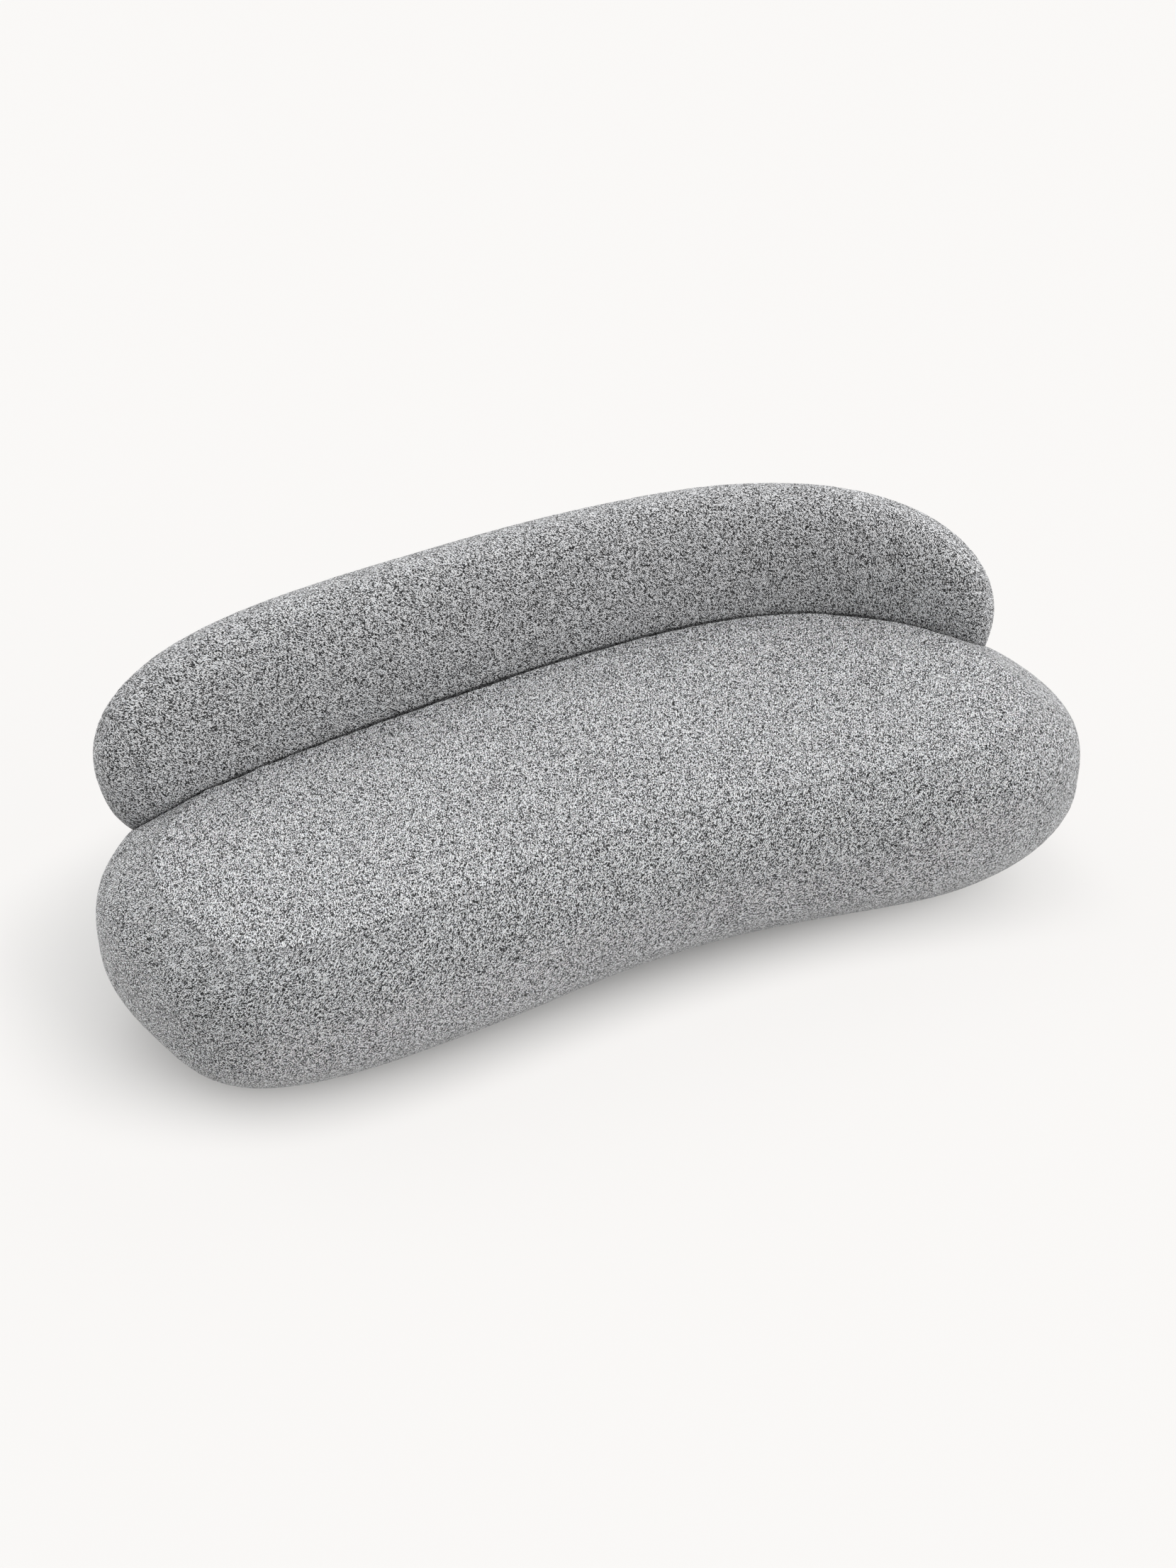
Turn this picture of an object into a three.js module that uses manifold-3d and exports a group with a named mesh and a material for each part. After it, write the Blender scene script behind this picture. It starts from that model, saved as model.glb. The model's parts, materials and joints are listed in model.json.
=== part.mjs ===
// A curved, fully upholstered sofa: a bean-shaped sprung seat with a long rounded backrest on its rear.
// Millimetres, +Z up, +Y towards the back. The origin is on the floor, under the middle of the sofa.

import * as THREE from "three";
import { mergeVertices } from "three/addons/utils/BufferGeometryUtils.js";
import Module from "manifold-3d";

const wasm = await Module();
wasm.setup();

// Seat form. "Along" runs with the bent middle line, "across" square to it, towards the back.
const groundClearance = 38;
const seatHalfLength = 1128;
const seatHalfDepth = 453;
const seatShift = 25;
const seatUnderDrop = 215;
const seatCrownRise = 246;
const seatUnderInset = 188;
const seatUnderReach = 122;
const seatUnderHold = 104;
const seatSpine = { radius: 1678, growthLength: 1883, endLength: Infinity };

// Powers and shares of the seat form: how square its corners and shoulder are, how its halves flare.
const seatFrontCornerPower = 2.77;
const seatRearCornerPower = 2.34;
const seatFrontSkewShare = 0.25;
const seatRearSkewShare = -0.99;
const seatLeastCornerPower = 1.5;
const seatShoulderPower = 3.95;
const seatRearFlareShare = 0.156;
const seatFrontFlareShare = -0.131;
const seatTopRingShare = 0.93;

// Backrest form, on a middle line of its own that bends most at the right-hand end.
const backHalfLength = 1083;
const backHalfThickness = 109;
const backHalfHeight = 255;
const backShift = 70;
const backSetback = 324;
const backCentreHeight = 493;
const backBaseDrop = 231;
const backRailClearance = 37;
const backEndDrop = 10;
const backRightFall = 33;
const backTilt = THREE.MathUtils.degToRad(19.3);
const backSpine = { radius: 5958, growthLength: 1770, endLength: 1263 };
const backSectionPower = 2.47;
const backEndPower = 5.85;
const backEndRoundPower = 2.31;
const backEndRingShare = 0.992;

// Upholstery.
const coverThickness = 8;
const clothGap = 0.4;
const seatCoverFlange = 40;
const backOpeningHalfWidth = 22;
const backOpeningEndMargin = 300;
const dustCoverThickness = 1.2;
const dustCoverOverlap = 22;
const insulatorThickness = 5;
const insulatorSideReach = 46;
const insulatorGap = 0.9;

// Frame of the seat, in plywood.
const fitGap = 0.3;
const plyThickness = 18;
const railWidth = 85;
const baseFrameInset = 222;
const topFrameInset = 152;
const topRailHeight = 225;
const frameRoomMargin = 7;
const endRailLength = 348;
const crossRailWidth = 70;
const crossRailShares = [-0.667, 0, 0.667];
const frameRibShares = [-0.54, 0.54];

// Sinuous springs, their clips and the wire that ties them.
const springEndMargin = 468;
const springShares = [-1, -0.667, -0.333, 0, 0.333, 0.667, 1];
const springBars = 11;
const springHalfWidth = 26;
const springTurnBulge = 6;
const springWireRadius = 1.9;
const springRise = 24;
const clipLength = 14;
const clipDepth = 12;
const clipThickness = 1.2;
const clipSetback = 16;
const clipStripWidth = 10;
const clipStripOverhang = 30;
const tieWireRadius = 1.2;
const tieWireOverhang = 40;

// Frame of the backrest.
const backFrameEndMargin = 283;
const backFrameHalfThickness = 46;
const backFrameRise = 165;
const backFrameLift = 68.7;
const backTopRailHalfWidth = 30;
const backBottomRailHalfWidth = 40;
const backRoomMargin = 1.5;
const webbingThickness = 2.5;
const webbingWidth = 50;
const lowerWebbingDrop = 50;
const upperWebbingRise = 70;

// Steel brackets that carry the backrest, each with a bolt and nut in its rib and a screw in its rail.
const bracketThickness = 5;
const bracketWidth = 40;
const bracketFootLength = 60;
const bracketBoltLift = 98;
const bracketTopReach = 70;
const bracketRibs = [1, 2, 3];
const bracketSetback = 30;
const bracketRailSetback = 24;
const boltRadius = 4;
const boltHeadRadius = 7;
const boltHeadThickness = 5;
const nutRadius = 6.5;
const nutThickness = 6;
const boltStub = 3;
const bracketScrewRadius = 2.5;
const bracketScrewHeadRadius = 4.5;
const bracketScrewHeadThickness = 2.5;
const bracketScrewDepth = 16;
const bracketScrewPlace = 36;

// Feet, each moulded round the stud that screws it into a rail.
const footEndMargin = 448;
const footTopRadius = 32;
const footBottomRadius = 27;
const footEdgeRound = 3;
const footStudRadius = 4;
const footStudDepth = 15;

// Counts that set how finely the forms are divided.
const planQuarter = 9;
const shoulderRings = 8;
const underRings = 4;
const sectionPoints = 16;
const backStations = 20;
const frameStations = 17;
const roundSides = 12;
const screwSides = 6;
const spineSteps = 24;
const sampleSteps = 400;
const searchSteps = 40;

// Places along the sofa that follow from the sizes above.
const railSplit = seatHalfLength - endRailLength;
const crossRailPlaces = crossRailShares.map((share) => share * railSplit);
const frameRibPlaces = frameRibShares.map((share) => share * railSplit);
const springPlaces = springShares.map((share) => share * (seatHalfLength - springEndMargin));
const footPlace = seatHalfLength - footEndMargin;
const backFrameHalfLength = backHalfLength - backFrameEndMargin;
const backOpeningHalfLength = backFrameHalfLength - backOpeningEndMargin;

// Heights that follow from the sizes above. The backrest's flat underside stays clear of the rail below it.
const backBaseHeight = Math.max(backCentreHeight - backBaseDrop, topRailHeight + backRailClearance);
const backFrameDrop = (backCentreHeight - backBaseHeight - backFrameLift) / Math.cos(backTilt);
const bracketBoltHeight = backBaseHeight + bracketBoltLift;
const bracketTop = bracketBoltHeight + bracketTopReach;
const seatWaistHeight = groundClearance + seatUnderDrop;
const foamOffset = coverThickness + clothGap;
const baseRailBottom = groundClearance + foamOffset;
const baseRailTop = baseRailBottom + plyThickness;
const topRailBottom = topRailHeight - plyThickness;
const clipOpening = 2 * springWireRadius + 2 * fitGap;
const clipHeight = clipOpening + 2 * clipThickness;
const springHeight = topRailHeight + fitGap + clipThickness + fitGap + springWireRadius;
const screwHeadBottom = topRailHeight + fitGap + bracketThickness + fitGap;
const screwHeadTop = screwHeadBottom + bracketScrewHeadThickness;
const dustCoverTop = groundClearance - fitGap;
const dustCoverBottom = dustCoverTop - dustCoverThickness;
const footTop = dustCoverBottom - fitGap;
const overrun = 10 * coverThickness;

const materials = {
  boucle: material(0x9a9b9e, 0.95, 0),
  foam: material(0xe6dfc8, 0.9, 0),
  felt: material(0x8c8578, 0.95, 0),
  ply: material(0xc9a777, 0.7, 0),
  spring: material(0x6f7276, 0.4, 0.9),
  steel: material(0x34363a, 0.5, 0.7),
  zinc: material(0xb9bcc0, 0.35, 0.9),
  webbing: material(0x2b2b2d, 0.9, 0),
  cambric: material(0x1c1c1e, 0.95, 0),
  plastic: material(0x222224, 0.5, 0),
};

function material(color, roughness, metalness) {
  return new THREE.MeshStandardMaterial({ color, roughness, metalness });
}

const sofa = new THREE.Group();

function addPart(name, shape, finish) {
  const geometry = shape.isBufferGeometry ? shape : geometryOf(shape);
  const mesh = new THREE.Mesh(geometry, finish);
  mesh.name = name;
  sofa.add(mesh);
  return mesh;
}

// Solids and geometries.
function solidOf(geometry) {
  const bare = geometry.clone();
  bare.deleteAttribute("normal");
  bare.deleteAttribute("uv");
  const welded = mergeVertices(bare);
  const vertProperties = new Float32Array(welded.attributes.position.array);
  const triVerts = new Uint32Array(welded.index.array);
  return new wasm.Manifold(new wasm.Mesh({ numProp: 3, vertProperties, triVerts }));
}

function geometryOf(solid) {
  const mesh = solid.getMesh();
  const geometry = new THREE.BufferGeometry();
  geometry.setAttribute("position", new THREE.BufferAttribute(mesh.vertProperties, 3));
  geometry.setIndex(new THREE.BufferAttribute(mesh.triVerts, 1));
  return geometry;
}

function joined(solids) {
  return solids.reduce((all, solid) => all.add(solid));
}

// A closed body through rings of as many points each, with flat ladders of triangles as its two ends.
function bodyFromRings(rings) {
  const count = rings[0].length;
  const points = rings.flat();
  const index = [];
  for (let ring = 0; ring + 1 < rings.length; ring++) {
    for (let i = 0; i < count; i++) {
      const a = ring * count + i;
      const b = ring * count + ((i + 1) % count);
      index.push(a, b, b + count, a, b + count, a + count);
    }
  }
  addLadder(index, 0, count, false);
  addLadder(index, (rings.length - 1) * count, count, true);
  const geometry = new THREE.BufferGeometry().setFromPoints(points);
  geometry.setIndex(index);
  return facingOut(geometry);
}

function addLadder(index, start, count, forward) {
  for (let i = 0; i < count / 2; i++) {
    const left = i;
    const right = (count - i) % count;
    const corners = [left, left + 1, count - i - 1, right];
    addTriangle(index, start, corners[0], corners[1], corners[2], forward);
    addTriangle(index, start, corners[0], corners[2], corners[3], forward);
  }
}

function addTriangle(index, start, a, b, c, forward) {
  if (a === b || b === c || a === c) return;
  index.push(start + a, start + (forward ? b : c), start + (forward ? c : b));
}

function facingOut(geometry) {
  const position = geometry.attributes.position;
  const index = geometry.index.array;
  const corners = [new THREE.Vector3(), new THREE.Vector3(), new THREE.Vector3()];
  let volume = 0;
  for (let i = 0; i < index.length; i += 3) {
    corners.forEach((corner, k) => corner.fromBufferAttribute(position, index[i + k]));
    volume += corners[0].dot(corners[1].clone().cross(corners[2]));
  }
  if (volume < 0) geometry.setIndex([...index].reverse());
  return geometry;
}

// The same body with its surface moved out by a distance, or in where the distance is negative.
function offsetBody(geometry, distance) {
  const moved = geometry.clone();
  moved.computeVertexNormals();
  const position = moved.attributes.position;
  const normal = moved.attributes.normal;
  for (let i = 0; i < position.count; i++) {
    position.setX(i, position.getX(i) + distance * normal.getX(i));
    position.setY(i, position.getY(i) + distance * normal.getY(i));
    position.setZ(i, position.getZ(i) + distance * normal.getZ(i));
  }
  return moved;
}

// A straight prism over a flat outline, between two heights.
function prism(outline, low, high) {
  const ring = (height) => outline.map((point) => new THREE.Vector3(point.x, point.y, height));
  return bodyFromRings([ring(low), ring(high)]);
}

// A box with its own length, width and height directions, centred on a point.
function orientedBox(centre, lengthway, length, width, low, high) {
  const sideway = new THREE.Vector2(-lengthway.y, lengthway.x);
  const corners = [[-1, -1], [1, -1], [1, 1], [-1, 1]].map(([i, j]) => new THREE.Vector2(
    centre.x + (i * lengthway.x * length + j * sideway.x * width) / 2,
    centre.y + (i * lengthway.y * length + j * sideway.y * width) / 2,
  ));
  return prism(corners, low, high);
}

// A turned body about an upright or a level axis: its profile is a list of [radius, height].
function turned(profile, sides, centre, axis) {
  const points = profile.map(([radius, height]) => new THREE.Vector2(radius, height));
  const geometry = new THREE.LatheGeometry(points, sides);
  const along = new THREE.Quaternion().setFromUnitVectors(new THREE.Vector3(0, 1, 0), axis);
  geometry.applyQuaternion(along);
  geometry.translate(centre.x, centre.y, centre.z);
  return geometry;
}

function rod(radius, start, end, sides) {
  const axis = end.clone().sub(start);
  const length = axis.length();
  const profile = [[0, 0], [radius, 0], [radius, length], [0, length]];
  return turned(profile, sides, start, axis.normalize());
}

const upward = new THREE.Vector3(0, 0, 1);

// A wire of square section along a list of points.
function wire(points, radius) {
  const rings = points.map((point, i) => {
    const before = points[Math.max(i - 1, 0)];
    const after = points[Math.min(i + 1, points.length - 1)];
    const tangent = after.clone().sub(before).normalize();
    const side = tangent.clone().cross(upward).normalize();
    const top = side.clone().cross(tangent).normalize();
    return [[-1, -1], [1, -1], [1, 1], [-1, 1]].map(([i, j]) => point.clone()
      .addScaledVector(side, i * radius)
      .addScaledVector(top, j * radius));
  });
  return bodyFromRings(rings);
}

// Bent middle lines: the line's heading grows with the distance from its middle.
function heading(along, spine) {
  return along / spine.radius + (along / spine.growthLength) ** 2 + (along / spine.endLength) ** 3;
}

function bentPoint(along, across, spine) {
  let x = 0;
  let y = 0;
  const step = along / spineSteps;
  for (let i = 0; i < spineSteps; i++) {
    const angle = heading((i + 0.5) * step, spine);
    x += step * Math.cos(angle);
    y -= step * Math.sin(angle);
  }
  const end = heading(along, spine);
  return new THREE.Vector2(x + across * Math.sin(end), y + across * Math.cos(end));
}

function signedPower(value, power) {
  return Math.sign(value) * Math.abs(value) ** power;
}

// Evenly spaced parameters of a curve, from 0 to 1 and with both ends.
function evenParameters(curve, count) {
  const samples = Array.from({ length: sampleSteps + 1 }, (_, i) => curve(i / sampleSteps));
  const reach = [0];
  for (let i = 1; i <= sampleSteps; i++) {
    reach.push(reach[i - 1] + samples[i].distanceTo(samples[i - 1]));
  }
  return Array.from({ length: count }, (_, k) => {
    const wanted = (reach[sampleSteps] * k) / (count - 1);
    let i = 1;
    while (i < sampleSteps && reach[i] < wanted) i++;
    return (i - 1 + (wanted - reach[i - 1]) / (reach[i] - reach[i - 1])) / sampleSteps;
  });
}

// Seat plan: a bent super-ellipse whose corners change evenly from the front to the rear.
function cornerPower(cosine, sine) {
  const frontShare = (1 - sine) / 2;
  const front = seatFrontCornerPower + cosine * seatFrontSkewShare;
  const rear = seatRearCornerPower + cosine * seatRearSkewShare;
  return Math.max(frontShare * front + (1 - frontShare) * rear, seatLeastCornerPower);
}

function straightPlanPoint(angle, inset) {
  const cosine = Math.cos(angle);
  const sine = Math.sin(angle);
  const power = 2 / cornerPower(cosine, sine);
  const along = (seatHalfLength - inset) * signedPower(cosine, power);
  const plainAcross = (seatHalfDepth - inset) * signedPower(sine, power);
  const flareShare = plainAcross > 0 ? seatRearFlareShare : seatFrontFlareShare;
  return new THREE.Vector2(along, plainAcross * (1 + flareShare * (along / seatHalfLength) ** 2));
}

function seatPlanPoint(angle, inset) {
  const point = straightPlanPoint(angle, inset);
  return bentPoint(point.x + seatShift, point.y, seatSpine);
}

function planAngles() {
  const angles = [];
  for (let quarter = 0; quarter < 4; quarter++) {
    const angleAt = (share) => ((quarter + share) * Math.PI) / 2;
    const shares = evenParameters((share) => straightPlanPoint(angleAt(share), 0), planQuarter + 1);
    angles.push(...shares.slice(0, planQuarter).map(angleAt));
  }
  return angles;
}

const seatAngles = planAngles();

function seatRing(inset, height) {
  return seatAngles.map((angle) => {
    const point = seatPlanPoint(angle, inset);
    return new THREE.Vector3(point.x, point.y, height);
  });
}

// Seat profile: its inset and height over the crown and shoulder, then down the side and under.
function shoulderPoint(share) {
  const angle = (share * Math.PI) / 2;
  const inset = seatHalfDepth * (1 - signedPower(Math.sin(angle), 2 / seatShoulderPower));
  const height = seatWaistHeight + seatCrownRise * signedPower(Math.cos(angle), 2 / seatShoulderPower);
  return new THREE.Vector2(inset, height);
}

const underCurve = new THREE.CubicBezierCurve(
  new THREE.Vector2(0, seatWaistHeight),
  new THREE.Vector2(0, seatWaistHeight - seatUnderHold),
  new THREE.Vector2(seatUnderReach, groundClearance),
  new THREE.Vector2(seatUnderInset, groundClearance),
);

function seatProfile() {
  const clipped = (share) => {
    const point = shoulderPoint(share);
    point.x = Math.min(point.x, seatTopRingShare * seatHalfDepth);
    return point;
  };
  const shoulder = evenParameters(clipped, shoulderRings).map(clipped);
  const under = evenParameters((share) => underCurve.getPoint(share), underRings + 1);
  return [...shoulder, ...under.slice(1).map((share) => underCurve.getPoint(share))];
}

const seatForm = bodyFromRings(seatProfile().map((point) => seatRing(point.x, point.y)));

// The angle at which the plan, drawn in by an inset, passes a place along the front or the rear.
function angleAtPlace(place, inset, side) {
  let low = 0;
  let high = Math.PI;
  for (let i = 0; i < searchSteps; i++) {
    const middle = (low + high) / 2;
    const along = straightPlanPoint(side * middle, inset).x;
    if (along > place) low = middle;
    else high = middle;
  }
  return (side * (low + high)) / 2;
}

function edgePoint(place, inset, side) {
  return seatPlanPoint(angleAtPlace(place, inset, side), inset);
}

// Backrest: a super-elliptic section, leaning back, that closes in at both ends.
function backPoint(along, outward, upwardPart, scale) {
  const across = (outward * Math.cos(backTilt) + upwardPart * Math.sin(backTilt)) * scale;
  const rise = (upwardPart * Math.cos(backTilt) - outward * Math.sin(backTilt)) * scale;
  const share = along / backHalfLength;
  const fall = backEndDrop * share ** 2 + backRightFall * share;
  const plan = bentPoint(along + backShift, across, backSpine);
  return new THREE.Vector3(plan.x, plan.y + backSetback, backCentreHeight + rise - fall);
}

function backEndScale(share) {
  return Math.max(1 - Math.abs(share) ** backEndPower, 0) ** (1 / backEndRoundPower);
}

function backSectionPoint(angle) {
  const power = 2 / backSectionPower;
  return new THREE.Vector2(
    backHalfThickness * signedPower(Math.cos(angle), power),
    backHalfHeight * signedPower(Math.sin(angle), power),
  );
}

function backShares() {
  const lengthwise = (share) => new THREE.Vector2(
    share * backEndRingShare * backHalfLength,
    backHalfHeight * backEndScale(share * backEndRingShare),
  );
  const half = evenParameters(lengthwise, backStations / 2 + 1).map((share) => share * backEndRingShare);
  return [...half.slice(1).reverse().map((share) => -share), ...half];
}

function backBody() {
  const fromTop = (share) => backSectionPoint((share + 1 / 4) * 2 * Math.PI);
  const section = evenParameters(fromTop, sectionPoints + 1).slice(0, sectionPoints).map(fromTop);
  const rings = backShares().map((share) => section.map((point) => backPoint(
    share * backHalfLength,
    point.x,
    point.y,
    backEndScale(share),
  )));
  return bodyFromRings(rings);
}

const backForm = backBody();

// The backrest's form, moved out or in by a distance, with the flat underside that it stands on.
function backSolid(distance) {
  const base = backBaseHeight - distance;
  return solidOf(offsetBody(backForm, distance)).trimByPlane([0, 0, 1], base);
}

// A strip along the backrest's frame, with its section given by a function of the place.
function backSweep(places, section) {
  return bodyFromRings(places.map((place) => section(place)));
}

function frameSection(low, high, bottom, top) {
  return (place) => [[low, bottom], [high, bottom], [high, top], [low, top]]
    .map(([outward, upwardPart]) => backPoint(place, outward, upwardPart, 1));
}

// A section between two levels of the room, rather than of the leaning backrest.
function heightPoint(place, outward, height) {
  const fall = backPoint(place, 0, 0, 1).z;
  const upwardPart = (height - fall + outward * Math.sin(backTilt)) / Math.cos(backTilt);
  return backPoint(place, outward, upwardPart, 1);
}

const framePlaces = Array.from(
  { length: frameStations },
  (_, i) => backFrameHalfLength * ((2 * i) / (frameStations - 1) - 1),
);
const ribPlaces = framePlaces.filter((_, i) => i % ((frameStations - 1) / 4) === 0);

// The seat's form, moved out or in by a distance.
function seatSolid(distance) {
  return solidOf(offsetBody(seatForm, distance));
}

function planPrism(inset, low, high) {
  return solidOf(bodyFromRings([seatRing(inset, low), seatRing(inset, high)]));
}

// Brackets: each leg stands beside a rib, and its foot reaches the rear half of the rail under it.
function bracketFrame(ribIndex) {
  const place = ribPlaces[ribIndex];
  const centre = heightPoint(place, bracketSetback, backBaseHeight);
  const ahead = heightPoint(place + plyThickness, bracketSetback, backBaseHeight);
  const lengthway = new THREE.Vector2(ahead.x - centre.x, ahead.y - centre.y).normalize();
  const reach = plyThickness / 2 + fitGap + bracketThickness / 2;
  const leg = new THREE.Vector2(centre.x, centre.y).addScaledVector(lengthway, reach);
  const sideway = new THREE.Vector2(-lengthway.y, lengthway.x);
  const railReach = railCrossing(leg, lengthway).sub(leg).dot(sideway);
  return { lengthway, sideway, leg, railReach };
}

// Where the line across the sofa through a point passes over the rear half of the rear top rail.
function railCrossing(point, lengthway) {
  const inset = topFrameInset + bracketRailSetback;
  let low = 0;
  let high = Math.PI;
  for (let i = 0; i < searchSteps; i++) {
    const middle = (low + high) / 2;
    const ahead = seatPlanPoint(middle, inset).sub(point).dot(lengthway) > 0;
    if (ahead) low = middle;
    else high = middle;
  }
  return seatPlanPoint(low, inset);
}

function bracketLeg({ lengthway, leg }, margin) {
  const low = topRailHeight + fitGap - margin;
  const high = bracketTop + margin;
  return orientedBox(leg, lengthway, bracketThickness + 2 * margin, bracketWidth + 2 * margin, low, high);
}

function bracketFoot({ lengthway, sideway, leg, railReach }, margin) {
  const centre = leg.clone()
    .addScaledVector(lengthway, (bracketFootLength - bracketThickness) / 2)
    .addScaledVector(sideway, railReach / 2);
  const low = topRailHeight + fitGap - margin;
  const high = topRailHeight + fitGap + bracketThickness + margin;
  const width = bracketWidth + Math.abs(railReach) + 2 * margin;
  return orientedBox(centre, lengthway, bracketFootLength + 2 * margin, width, low, high);
}

const bracketFrames = bracketRibs.map(bracketFrame);
const bracketSlots = joined(bracketFrames.map((frame) => solidOf(bracketLeg(frame, fitGap))));

// Covers. The seat's is open under the backrest, which sits in a notch of the seat's foam.
const backNotch = backSolid(clothGap);

function makeCovers() {
  const seatOpening = planPrism(
    seatUnderInset + seatCoverFlange,
    groundClearance - overrun,
    groundClearance + 2 * coverThickness,
  );
  const seatShell = seatSolid(0).subtract(seatSolid(-coverThickness));
  addPart("seat_cover", seatShell.subtract(seatOpening).subtract(backNotch), materials.boucle);

  const openingSection = (place) => [
    heightPoint(place, -backOpeningHalfWidth, backBaseHeight - overrun),
    heightPoint(place, backOpeningHalfWidth, backBaseHeight - overrun),
    heightPoint(place, backOpeningHalfWidth, backBaseHeight + 2 * coverThickness),
    heightPoint(place, -backOpeningHalfWidth, backBaseHeight + 2 * coverThickness),
  ];
  const openingPlaces = framePlaces.filter((place) => Math.abs(place) <= backOpeningHalfLength);
  const backOpening = solidOf(backSweep(openingPlaces, openingSection));
  const backCover = backSolid(0).subtract(backSolid(-coverThickness)).subtract(backOpening);
  addPart("back_cover", backCover.subtract(bracketSlots), materials.boucle);
}

// Springs and the pad over them, on lines from the front rail to the rear rail.
const clipInset = topFrameInset + railWidth - clipSetback;

function deckLine(place) {
  const front = edgePoint(place, clipInset, -1);
  const rear = edgePoint(place, clipInset, 1);
  return { front, rear, rearward: rear.clone().sub(front).normalize() };
}

function deckPoint(line, share, sideStep, lift) {
  const point = line.front.clone().lerp(line.rear, share);
  const x = point.x + line.rearward.y * sideStep;
  const y = point.y - line.rearward.x * sideStep;
  return new THREE.Vector3(x, y, springHeight + 4 * springRise * share * (1 - share) + lift);
}

function springPath(line) {
  const pitchShare = 1 / (springBars - 1);
  const points = [];
  for (let bar = 0; bar < springBars; bar++) {
    const side = bar % 2 === 0 ? 1 : -1;
    const share = bar * pitchShare;
    points.push(deckPoint(line, share, -side * springHalfWidth, 0));
    points.push(deckPoint(line, share, side * springHalfWidth, 0));
    if (bar + 1 < springBars) {
      points.push(deckPoint(line, share + pitchShare / 2, side * (springHalfWidth + springTurnBulge), 0));
    }
  }
  return points;
}

function clipOutline() {
  const top = clipHeight;
  return [
    [0, 0],
    [clipDepth, 0],
    [clipDepth, clipThickness],
    [clipThickness, clipThickness],
    [clipThickness, top - clipThickness],
    [clipDepth, top - clipThickness],
    [clipDepth, top],
    [0, top],
  ];
}

// One clip: its wall stands on the middle side of the wire, and its lips reach outwards over it.
function clip(end, outward) {
  const sideway = new THREE.Vector2(-outward.y, outward.x);
  const start = end.clone().addScaledVector(outward, -springWireRadius - fitGap - clipThickness);
  const shape = new THREE.Shape(clipOutline().map(([x, y]) => new THREE.Vector2(x, y)));
  const geometry = new THREE.ExtrudeGeometry(shape, { depth: clipLength, bevelEnabled: false });
  const turn = new THREE.Matrix4().makeBasis(
    new THREE.Vector3(outward.x, outward.y, 0),
    upward,
    new THREE.Vector3(-sideway.x, -sideway.y, 0),
  );
  geometry.translate(0, 0, -clipLength / 2);
  geometry.applyMatrix4(turn);
  geometry.translate(start.x, start.y, topRailHeight + fitGap);
  return geometry;
}

// The clips of one rail, on the strip that is nailed along it.
function clipStrip(ends, outwards) {
  const clips = ends.map((end, i) => solidOf(clip(end, outwards[i])));
  const low = topRailHeight + fitGap;
  const path = withEnds(ends.map((end) => new THREE.Vector3(end.x, end.y, low)), clipStripOverhang);
  const rings = path.map((point, i) => {
    const outward = outwards[THREE.MathUtils.clamp(i - 1, 0, outwards.length - 1)];
    return [[-1, 0], [1, 0], [1, 1], [-1, 1]].map(([across, up]) => new THREE.Vector3(
      point.x + (outward.x * across * clipStripWidth) / 2,
      point.y + (outward.y * across * clipStripWidth) / 2,
      low + up * clipThickness,
    ));
  });
  return joined([solidOf(bodyFromRings(rings)), ...clips]);
}

// A slab over the springs, between two lifts above their wire and through the given shares of their length.
function deckSlab(shares, lowLift, highLift, margin) {
  const last = springPlaces.length - 1;
  const rings = springPlaces.map(deckLine).flatMap((line, i) => {
    const leftStep = -insulatorSideReach - (i === 0 ? margin : 0);
    const rightStep = insulatorSideReach + (i === last ? margin : 0);
    const marginShare = margin / line.front.distanceTo(line.rear);
    const grown = [shares[0] - marginShare, ...shares.slice(1, -1), shares[shares.length - 1] + marginShare];
    return [leftStep, rightStep].map((sideStep) => [
      ...grown.map((share) => deckPoint(line, share, sideStep, lowLift)),
      ...grown.map((share) => deckPoint(line, share, sideStep, highLift)).reverse(),
    ]);
  });
  return stripBody(rings);
}

// A slab through rings whose first half lies below their second half.
function stripBody(rings) {
  const count = rings[0].length;
  const geometry = new THREE.BufferGeometry().setFromPoints(rings.flat());
  const index = [];
  for (let ring = 0; ring + 1 < rings.length; ring++) {
    for (let i = 0; i < count; i++) {
      const a = ring * count + i;
      const b = ring * count + ((i + 1) % count);
      index.push(a, b, b + count, a, b + count, a + count);
    }
  }
  const last = (rings.length - 1) * count;
  for (let i = 0; i + 1 < count / 2; i++) {
    const far = count - 1 - i;
    index.push(i, far, far - 1, i, far - 1, i + 1);
    index.push(last + i, last + far - 1, last + far, last + i, last + i + 1, last + far - 1);
  }
  geometry.setIndex(index);
  return facingOut(geometry);
}

const padBottomLift = springWireRadius + insulatorGap;
const padTopLift = padBottomLift + insulatorThickness;
const barShares = Array.from({ length: springBars }, (_, i) => i / (springBars - 1));

function makeDeck() {
  const lines = springPlaces.map(deckLine);
  lines.forEach((line, i) => {
    addPart(`seat_spring_${i + 1}`, wire(springPath(line), springWireRadius), materials.spring);
  });
  const rearward = lines.map((line) => line.rearward);
  const forward = rearward.map((direction) => direction.clone().negate());
  addPart("front_clip_strip", clipStrip(lines.map((line) => line.front), forward), materials.zinc);
  addPart("rear_clip_strip", clipStrip(lines.map((line) => line.rear), rearward), materials.zinc);
  const tieDrop = springWireRadius + fitGap + tieWireRadius;
  const tiePoints = lines.map((line) => deckPoint(line, 0.5, 0, -tieDrop));
  addPart("spring_tie_wire", wire(withEnds(tiePoints, tieWireOverhang), tieWireRadius), materials.spring);
  const pad = deckSlab(barShares.slice(1, -1), padBottomLift, padTopLift, 0);
  addPart("seat_insulator", pad, materials.felt);
}

function withEnds(points, overhang) {
  const extended = (end, next) => end.clone().add(end.clone().sub(next).setLength(overhang));
  const last = points.length - 1;
  return [extended(points[0], points[1]), ...points, extended(points[last], points[last - 1])];
}

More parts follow.
